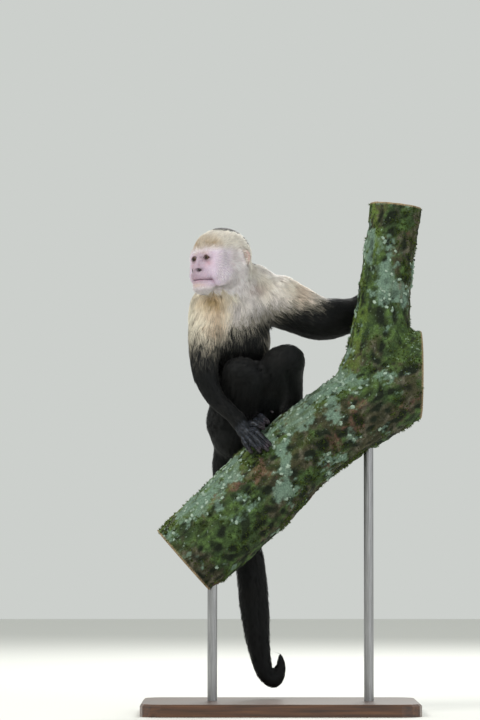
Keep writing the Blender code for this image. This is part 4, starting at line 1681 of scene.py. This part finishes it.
class Nails:
    """The nails, joined in one piece; the left foot has no toes."""

    shape = NailShape()

    def build(self) -> Object:
        """Makes the nails."""
        work = bmesh.new()
        for name, digits in Grip().paws().items():
            for digit in digits if name != "foot_left" else ():
                tip, middle = Vector(digit.bones[2]), Vector(digit.bones[1])
                ahead = (tip - middle).normalized()
                side = ahead.cross(Vector(digit.outward)).normalized()
                upward = side.cross(ahead)
                out = digit.radius * self.shape.radius_share - self.shape.sunk
                centre = tip - ahead * self.shape.back + upward * out
                turn = Matrix((ahead, side, upward)).transposed().to_4x4()
                size = Matrix.Diagonal((self.shape.length, self.shape.width, self.shape.height, 1))
                made = bmesh.ops.create_uvsphere(work, u_segments=12, v_segments=8, radius=1)
                for vertex in made["verts"]:
                    bow = self.shape.side_bow * vertex.co.y**2
                    vertex.co.z -= bow + self.shape.tip_bow * max(0.0, vertex.co.x) ** 2
                    vertex.co = (Matrix.Translation(centre) @ turn @ size @ vertex.co) * MM
        bmesh.ops.recalc_face_normals(work, faces=work.faces)
        mesh = mesh_from(work, "nails")
        mesh.shade_smooth()
        return new_object(mesh, "nails")


# Blobs of pale bark and of bark with less pale lichen have a place to the right and up, and a reach each way,
# in millimetres.
LIMB_AXIS = Line(((-157, 0, 204), (-116, 0, 240), (-43, 0, 307), (29, 0, 378), (87, 0, 421), (145, 0, 457),
                  (208, 0, 497)))
STEM_AXIS = Line(((128, 0, 455), (141, 0, 510), (147, 0, 560), (152, 0, 612), (158, 0, 655), (165, 0, 705),
                  (175, 0, 770)))
PALE_BARK = ((168, 636, 40, 44), (136, 580, 14, 30), (62, 366, 34, 20), (90, 482, 15, 16), (58, 452, 20, 17),
             (24, 424, 20, 15))
DARKER_BARK = ((175, 520, 42, 42), (120, 446, 36, 26), (40, 396, 26, 12))


class Perch:
    """The cut limb and its stem: bark, sawn ends, and the moss and lichen that grow on it."""

    voxel = 2.2
    ridge, knot, fine = 1.5, 2.2, 0.7
    saws: tuple[tuple[Place, Place], ...] = (
        ((-140, 0, 219), (-0.75, 0, -0.66)), ((206, 0, 490), (1, 0, 0)), ((169, 0, 736), (0.12, 0, 1)))
    saw_near, saw_reach = 1.6, 110.0

    def surface(self) -> Mesh:
        """The perch's solid with even small faces."""
        wood = new_object(mesh_from(merged_copy("perch"), "wood"), "wood")
        remesh = wood.modifiers.new("even", "REMESH")
        remesh.mode, remesh.voxel_size = "VOXEL", self.voxel * MM
        smooth = wood.modifiers.new("smooth", "SMOOTH")
        smooth.factor, smooth.iterations = 0.5, 2
        return baked(wood)

    def saw_field(self, points: Array) -> Array:
        """1 on the sawn ends, falling to 0 away from them."""
        cut = np.zeros(len(points))
        for place, facing in self.saws:
            normal = np.array(facing) / np.linalg.norm(facing)
            arm = points - np.array(place)
            flat = ease(self.saw_near + 1.5, self.saw_near, np.abs(arm @ normal))
            cut = np.maximum(cut, flat * (np.linalg.norm(arm, axis=1) < self.saw_reach))
        return cut

    def build(self) -> Object:
        """Makes the bark with its colours."""
        mesh = self.surface()
        points, normals = points_of(mesh), unit(spread(normals_of(mesh), edges_of(mesh), 3))
        limb_way, limb_along, limb_far, _ = LIMB_AXIS.follow(points)
        stem_way, stem_along, stem_far, _ = STEM_AXIS.follow(points)
        on_stem = (stem_far < limb_far - 12)[:, None]
        way = np.where(on_stem, stem_way, limb_way)
        along = np.where(on_stem[:, 0], stem_along + 400, limb_along)
        cut = self.saw_field(points)
        flat = points - way * along[:, None] * 0.75
        ridges = wander(flat, 9, 41)
        scales = np.abs(wander(points, 16, 42))
        lumps = mottle(points, 34, 43)
        grit = wander(points, 4, 44)
        move = (self.ridge * (ridges - 0.4) + self.knot * (lumps * 0.6 - scales * 0.8)
                + self.fine * (grit - 0.3))
        points = points + normals * (np.minimum(move, 1.6) * (1 - cut) - 0.3)[:, None]
        set_points(mesh, points)
        mesh.shade_smooth()
        self.paint(mesh, points, normals, ridges, scales, cut)
        return new_object(mesh, "bark")

    def paint(self, mesh: Mesh, points: Array, normals: Array, ridges: Array,
              scales: Array, cut: Array) -> None:
        """Colours the bark: moss, pale lichen above, bare brown in places, rings on sawn ends, painted light
        and shade.

        Args:
            mesh: The bark.
            points: Its vertices' places.
            normals: Their facings.
            ridges: How high the ridges are there.
            scales: How deep the cracks are there.
            cut: 1 on the sawn ends.
        """
        count = len(points)
        tone = np.tile(linear(68, 66, 48), (count, 1))

        def lay(colour: Colour, weight: Array) -> None:
            """Lays a colour over the rest, by weight."""
            nonlocal tone
            tone = laid(tone, colour, weight)

        # Faces turned up and faces turned left, used below to paint light on those sides.
        top, left = ease(-0.3, 0.8, normals[:, 2]), ease(0.1, 0.8, -normals[:, 0])
        patch, blotch, small = mottle(points, 70, 51), mottle(points, 26, 52), wander(points, 4, 53)
        x, _, z = points.T
        lay(linear(98, 94, 80), ease(0.0, 0.6, mottle(points * (1, 1, 0.4), 12, 50)))
        lay(linear(112, 80, 70), 0.7 * ease(0.42, 0.60, mottle(points, 46, 54)))
        lay(linear(56, 76, 44), 0.92 * ease(-0.35, 0.15, patch + 0.25 * small))
        lay(linear(88, 114, 62),
            0.75 * ease(-0.1, 0.4, mottle(points, 16, 56) + 0.3 * small) * ease(-0.4, 0.3, patch))
        # Painted shade: dark in the cracks and in the low ground between ridges.
        lay(linear(26, 33, 22), 0.85 * ease(0.12, 0.5, scales) + 0.5 * ease(0.15, -0.45, ridges))
        # Moss green, made bright on the ridges of faces turned left and up as painted light.
        lay(linear(102, 124, 52), 0.6 * np.maximum(left, 0.5 * top) * ease(-0.3, 0.4, ridges + 0.5 * small))
        # PALE_BARK blobs add pale lichen; the other blobs take it away, leaving darker bark.
        pale, darker_bark = (sum(bell(x, a, c) * bell(z, b, d) for a, b, c, d in blobs)
                      for blobs in (PALE_BARK, DARKER_BARK))
        # Pale lichen, laid thicker on upward faces: lichen, and painted light on the lit top.
        crust = ease(0.10, 0.34, 0.75 * mottle(points, 44, 55) + 0.25 * blotch + 0.22 * small + 0.5 * top
                     - 0.28 + 0.5 * pale - 0.5 * darker_bark)
        lay(linear(112, 136, 120),
            0.85 * crust * (1 - 0.5 * ease(0.2, 0.6, scales)) * (1 - 0.45 * ease(0, 0.5, ridges)))
        rings = np.zeros(count)
        for axis in (LIMB_AXIS, STEM_AXIS):
            far = axis.follow(points)[2] + 2.0 * wander(points, 24, 56)
            rings = np.maximum(rings, np.where(far < 80, 0.5 + 0.5 * np.sin(far * 1.15), 0))
        wood = np.array(linear(168, 146, 116)) * (1 - rings[:, None] * 0.30) * (
            1 + 0.25 * wander(points, 9, 60)[:, None])
        paint(mesh, "tint", laid(tone, wood, cut))
        # Specks of pale lichen, more of them on upward faces as painted light.
        grains = ease(-0.2, 0.5, small + top - 0.5) * (1 - cut) * 0.7
        paint(mesh, "crust", np.repeat(grains[:, None], 3, axis=1))
        lichen = crust * ease(0.0, 0.5, small + 0.3 * blotch) * (1 - cut)
        moss = ease(0.0, 0.45, mottle(points, 42, 58) + 0.3 * small) * (1 - crust) * (1 - cut)
        for name, values in (("lichen", lichen), ("moss", moss)):
            mesh.attributes.new(name, "FLOAT", "POINT").data.foreach_set("value", values.astype(np.float32))


@dataclass(frozen=True)
class Growth:
    """What grows on the bark: the attribute it follows, its crowding and its size."""

    name: str
    per_square_metre: float
    small: float
    large: float
    seed: int


class Scatter:
    """Spreads a small shape over the bark with geometry nodes."""

    def __init__(self, growth: Growth, shape: Object, material: Material) -> None:
        """Keeps what grows, its shape and its material."""
        self.growth, self.shape, self.material = growth, shape, material

    def group(self) -> bpy.types.NodeTree:
        """The node tree: distribute, place, realize and set the material."""
        tree = bpy.data.node_groups.new("scatter_" + self.growth.name, "GeometryNodeTree")
        for name, way, kind in (
            ("Geometry", "INPUT", "Geometry"), ("Shape", "INPUT", "Object"), ("Density", "INPUT", "Float"),
            ("Smallest", "INPUT", "Float"), ("Largest", "INPUT", "Float"), ("Seed", "INPUT", "Int"),
            ("Geometry", "OUTPUT", "Geometry"),
        ):
            tree.interface.new_socket(name=name, in_out=way, socket_type="NodeSocket" + kind)
        made = {key: tree.nodes.new(kind) for key, kind in {
            "entry": "NodeGroupInput", "leave": "NodeGroupOutput", "where": "GeometryNodeInputNamedAttribute",
            "crowd": "ShaderNodeMath", "points": "GeometryNodeDistributePointsOnFaces",
            "shape": "GeometryNodeObjectInfo", "size": "FunctionNodeRandomValue",
            "turn": "FunctionNodeRandomValue", "spin": "ShaderNodeCombineXYZ",
            "convert": "FunctionNodeEulerToRotation", "turned": "FunctionNodeRotateRotation",
            "put": "GeometryNodeInstanceOnPoints", "real": "GeometryNodeRealizeInstances",
            "finish": "GeometryNodeSetMaterial"}.items()}
        made["where"].data_type = "FLOAT"
        made["where"].inputs["Name"].default_value = self.growth.name
        made["crowd"].operation = "MULTIPLY"
        made["turn"].inputs[3].default_value = math.tau
        made["turned"].rotation_space = "LOCAL"
        made["finish"].inputs["Material"].default_value = self.material
        for source, output, target, entry in (
            ("where", "Attribute", "crowd", 0), ("entry", "Density", "crowd", 1),
            ("entry", "Geometry", "points", "Mesh"), ("crowd", 0, "points", "Density"),
            ("entry", "Seed", "points", "Seed"), ("entry", "Shape", "shape", "Object"),
            ("entry", "Smallest", "size", 2), ("entry", "Largest", "size", 3),
            ("entry", "Seed", "size", "Seed"),
            ("turn", 1, "spin", 2), ("points", "Rotation", "turned", "Rotation"), ("spin", 0, "convert", 0),
            ("convert", 0, "turned", "Rotate By"), ("points", "Points", "put", "Points"),
            ("shape", "Geometry", "put", "Instance"), ("turned", 0, "put", "Rotation"),
            ("size", 1, "put", "Scale"),
            ("put", 0, "real", 0), ("real", 0, "finish", "Geometry"), ("finish", 0, "leave", 0),
        ):
            tree.links.new(made[source].outputs[output], made[target].inputs[entry])
        return tree

    def build(self, bark: Object) -> Object:
        """Grows the shapes on the bark.

        Args:
            bark: The bark.

        Returns:
            All the shapes as one plain mesh.
        """
        holder = new_object(bark.data.copy(), "holder")
        modifier = holder.modifiers.new("scatter", "NODES")
        modifier.node_group = self.group()
        sockets = {item.name: item.identifier for item in modifier.node_group.interface.items_tree
                   if item.in_out == "INPUT"}
        modifier[sockets["Shape"]] = self.shape
        modifier[sockets["Density"]] = self.growth.per_square_metre
        modifier[sockets["Smallest"]], modifier[sockets["Largest"]] = self.growth.small, self.growth.large
        modifier[sockets["Seed"]] = self.growth.seed
        mesh = baked(holder)
        bpy.data.objects.remove(self.shape)
        mesh.shade_smooth()
        mesh.name = self.growth.name
        return new_object(mesh, self.growth.name)


def lichen_flake() -> Object:
    """A crinkled flake of lichen a millimetre across: a closed, wavy-edged disc."""
    sides, points, faces = 11, [(0, 0, 0.22), (0, 0, -0.30)], []
    for step in range(sides):
        turn = math.tau * step / sides
        reach = 0.42 + 0.10 * math.sin(2.0 * turn + 0.6) + 0.07 * math.sin(5.0 * turn)
        for share, height in ((0.62, 0.20), (1.0, 0.13 + 0.06 * (step % 2)), (0.98, -0.30)):
            points.append((reach * share * math.cos(turn), reach * share * math.sin(turn), height))
    for step in range(sides):
        a, b = 2 + 3 * step, 2 + 3 * ((step + 1) % sides)
        faces += [(0, a, b), (a, a + 1, b + 1), (a, b + 1, b), (a + 1, a + 2, b + 2), (a + 1, b + 2, b + 1),
                  (1, b + 2, a + 2)]
    return new_object(new_mesh(np.array(points), np.array(faces), "flake"), "flake")


def moss_tuft() -> Object:
    """A moss cushion a millimetre across: one upright spike and five leaning ones from one root."""
    spikes, points, faces = 6, [], []
    for spike in range(spikes):
        turn = math.tau * spike / spikes
        lean = 0.45 if spike else 0.0
        tip = (lean * math.cos(turn), lean * math.sin(turn), 0.75 + 0.12 * (spike % 3))
        start = len(points)
        for corner in range(3):
            angle = turn + math.tau * corner / 3
            points.append((0.25 * lean * math.cos(turn) + 0.16 * math.cos(angle),
                           0.25 * lean * math.sin(turn) + 0.16 * math.sin(angle), -0.25))
        points.append(tip)
        faces += [(start, start + 1, start + 3), (start + 1, start + 2, start + 3),
                  (start + 2, start, start + 3), (start, start + 2, start + 1)]
    return new_object(new_mesh(np.array(points), np.array(faces), "tuft"), "tuft")


class Studio:
    """A pale floor, soft lights and the camera."""

    target: Place = (-0.058, 0.0, 0.5104)
    distance, elevation, height = 5.0, math.radians(-3), 1.044

    def floor(self) -> Object:
        """The plain, flat floor."""
        work = bmesh.new()
        bmesh.ops.create_grid(work, x_segments=1, y_segments=1, size=6)
        mesh = mesh_from(work, "floor")
        nodes = Nodes("floor")
        nodes.set(Base_Color=(*linear(226, 226, 222), 1), Roughness=0.9, Specular_IOR_Level=0.2)
        mesh.materials.append(nodes.material)
        return new_object(mesh, "floor")

    def light(self, name: str, place: Place, power: float, size: float, colour: Colour) -> None:
        """A soft square light aimed at the model."""
        lamp = bpy.data.lights.new(name, "AREA")
        lamp.energy, lamp.size, lamp.color = power, size, colour
        made = new_object(lamp, name)
        made.location = place
        made.rotation_mode = "QUATERNION"
        made.rotation_quaternion = (Vector(self.target) - Vector(place)).to_track_quat("-Z", "Y")

    def lights(self) -> None:
        """The lights and the pale surround."""
        world = bpy.data.worlds.new("surround")
        world.use_nodes = True
        background = world.node_tree.nodes["Background"]
        background.inputs[0].default_value = (*linear(232, 236, 232), 1)
        background.inputs[1].default_value = 0.75
        bpy.context.scene.world = world
        bpy.context.scene.view_settings.view_transform = "Standard"
        self.light("key", (-1.6, -1.5, 2.4), 46, 1.2, (1.0, 0.98, 0.93))
        self.light("fill", (2.2, -2.2, 1.2), 20, 2.0, (0.95, 0.97, 1.0))
        self.light("rim", (0.6, 2.2, 2.2), 60, 1.4, (1.0, 1.0, 0.98))

    def camera(self) -> None:
        """The camera, low and in front."""
        data = bpy.data.cameras.new("camera")
        data.sensor_width, data.clip_end = 36, 60
        data.lens = 36 * self.distance / self.height
        made = new_object(data, "camera")
        back = Vector((0, -math.cos(self.elevation), math.sin(self.elevation)))
        made.location = Vector(self.target) + back * self.distance
        made.rotation_mode = "QUATERNION"
        made.rotation_quaternion = (-back).to_track_quat("-Z", "Y")
        bpy.context.scene.camera = made

    def build(self) -> Object:
        """Sets everything up and returns the floor."""
        self.lights()
        self.camera()
        return self.floor()


def finish_node(node: str, material: Material) -> None:
    """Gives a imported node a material."""
    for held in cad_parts[node].material_slots:
        held.link = "OBJECT"
        held.material = material


def settle(piece: Object, material: Material, slot: str, *nodes: str) -> None:
    """Gives a piece its material, puts it under the root body and hides the given nodes."""
    if not piece.data.materials:
        piece.data.materials.append(material)
    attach(piece, "root")
    if nodes:
        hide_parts(*nodes)
    log.info("%s: %d faces", piece.name, len(piece.data.polygons))


def main() -> None:
    """Builds the whole model in order."""
    logging.basicConfig(level=logging.INFO, format="%(message)s")
    head = HeadAxes()
    body = BodyMap(head)
    skin, fields = Skin(head, body).build()
    markings = Markings(head, body)
    paint(skin.data, "tint", markings.skin(fields))
    settle(skin, SkinFinish().material(), "dark_skin", *body.names)
    hair = HairFinish().material()
    for piece in Coat(skin, fields, markings, CoatPlan()).build():
        settle(piece, hair, "black_coat")
    eye = EyeFinish().material()
    for side, piece in zip(("left", "right"), Eyes(head).build()):
        settle(piece, eye, "eye", "eye_" + side)
    settle(Nails().build(), NAIL.material(), "dark_skin")
    bark = Perch().build()
    growths = (
        (Growth("lichen", 30000, 2.5, 7.0, 3), lichen_flake(), linear(104, 124, 108), linear(170, 188, 172)),
        (Growth("moss", 60000, 1.8, 4.0, 5), moss_tuft(), linear(36, 50, 22), linear(94, 110, 46)),
    )
    for growth, shape, dark, light in growths:
        material = GrainFinish(growth.name, 0.006, ((0.3, dark), (0.7, light)), settings={
            "Specular_IOR_Level": 0.2}).material()
        settle(Scatter(growth, shape, material).build(bark), material, "mossy_bark")
    settle(bark, BarkFinish().material(), "mossy_bark", "perch")
    finish_node("stand_base", WOOD.material())
    for rod in ("stand_rod_left", "stand_rod_right"):
        finish_node(rod, STEEL.material())
    Studio().build()


if __name__ == "__main__":
    main()
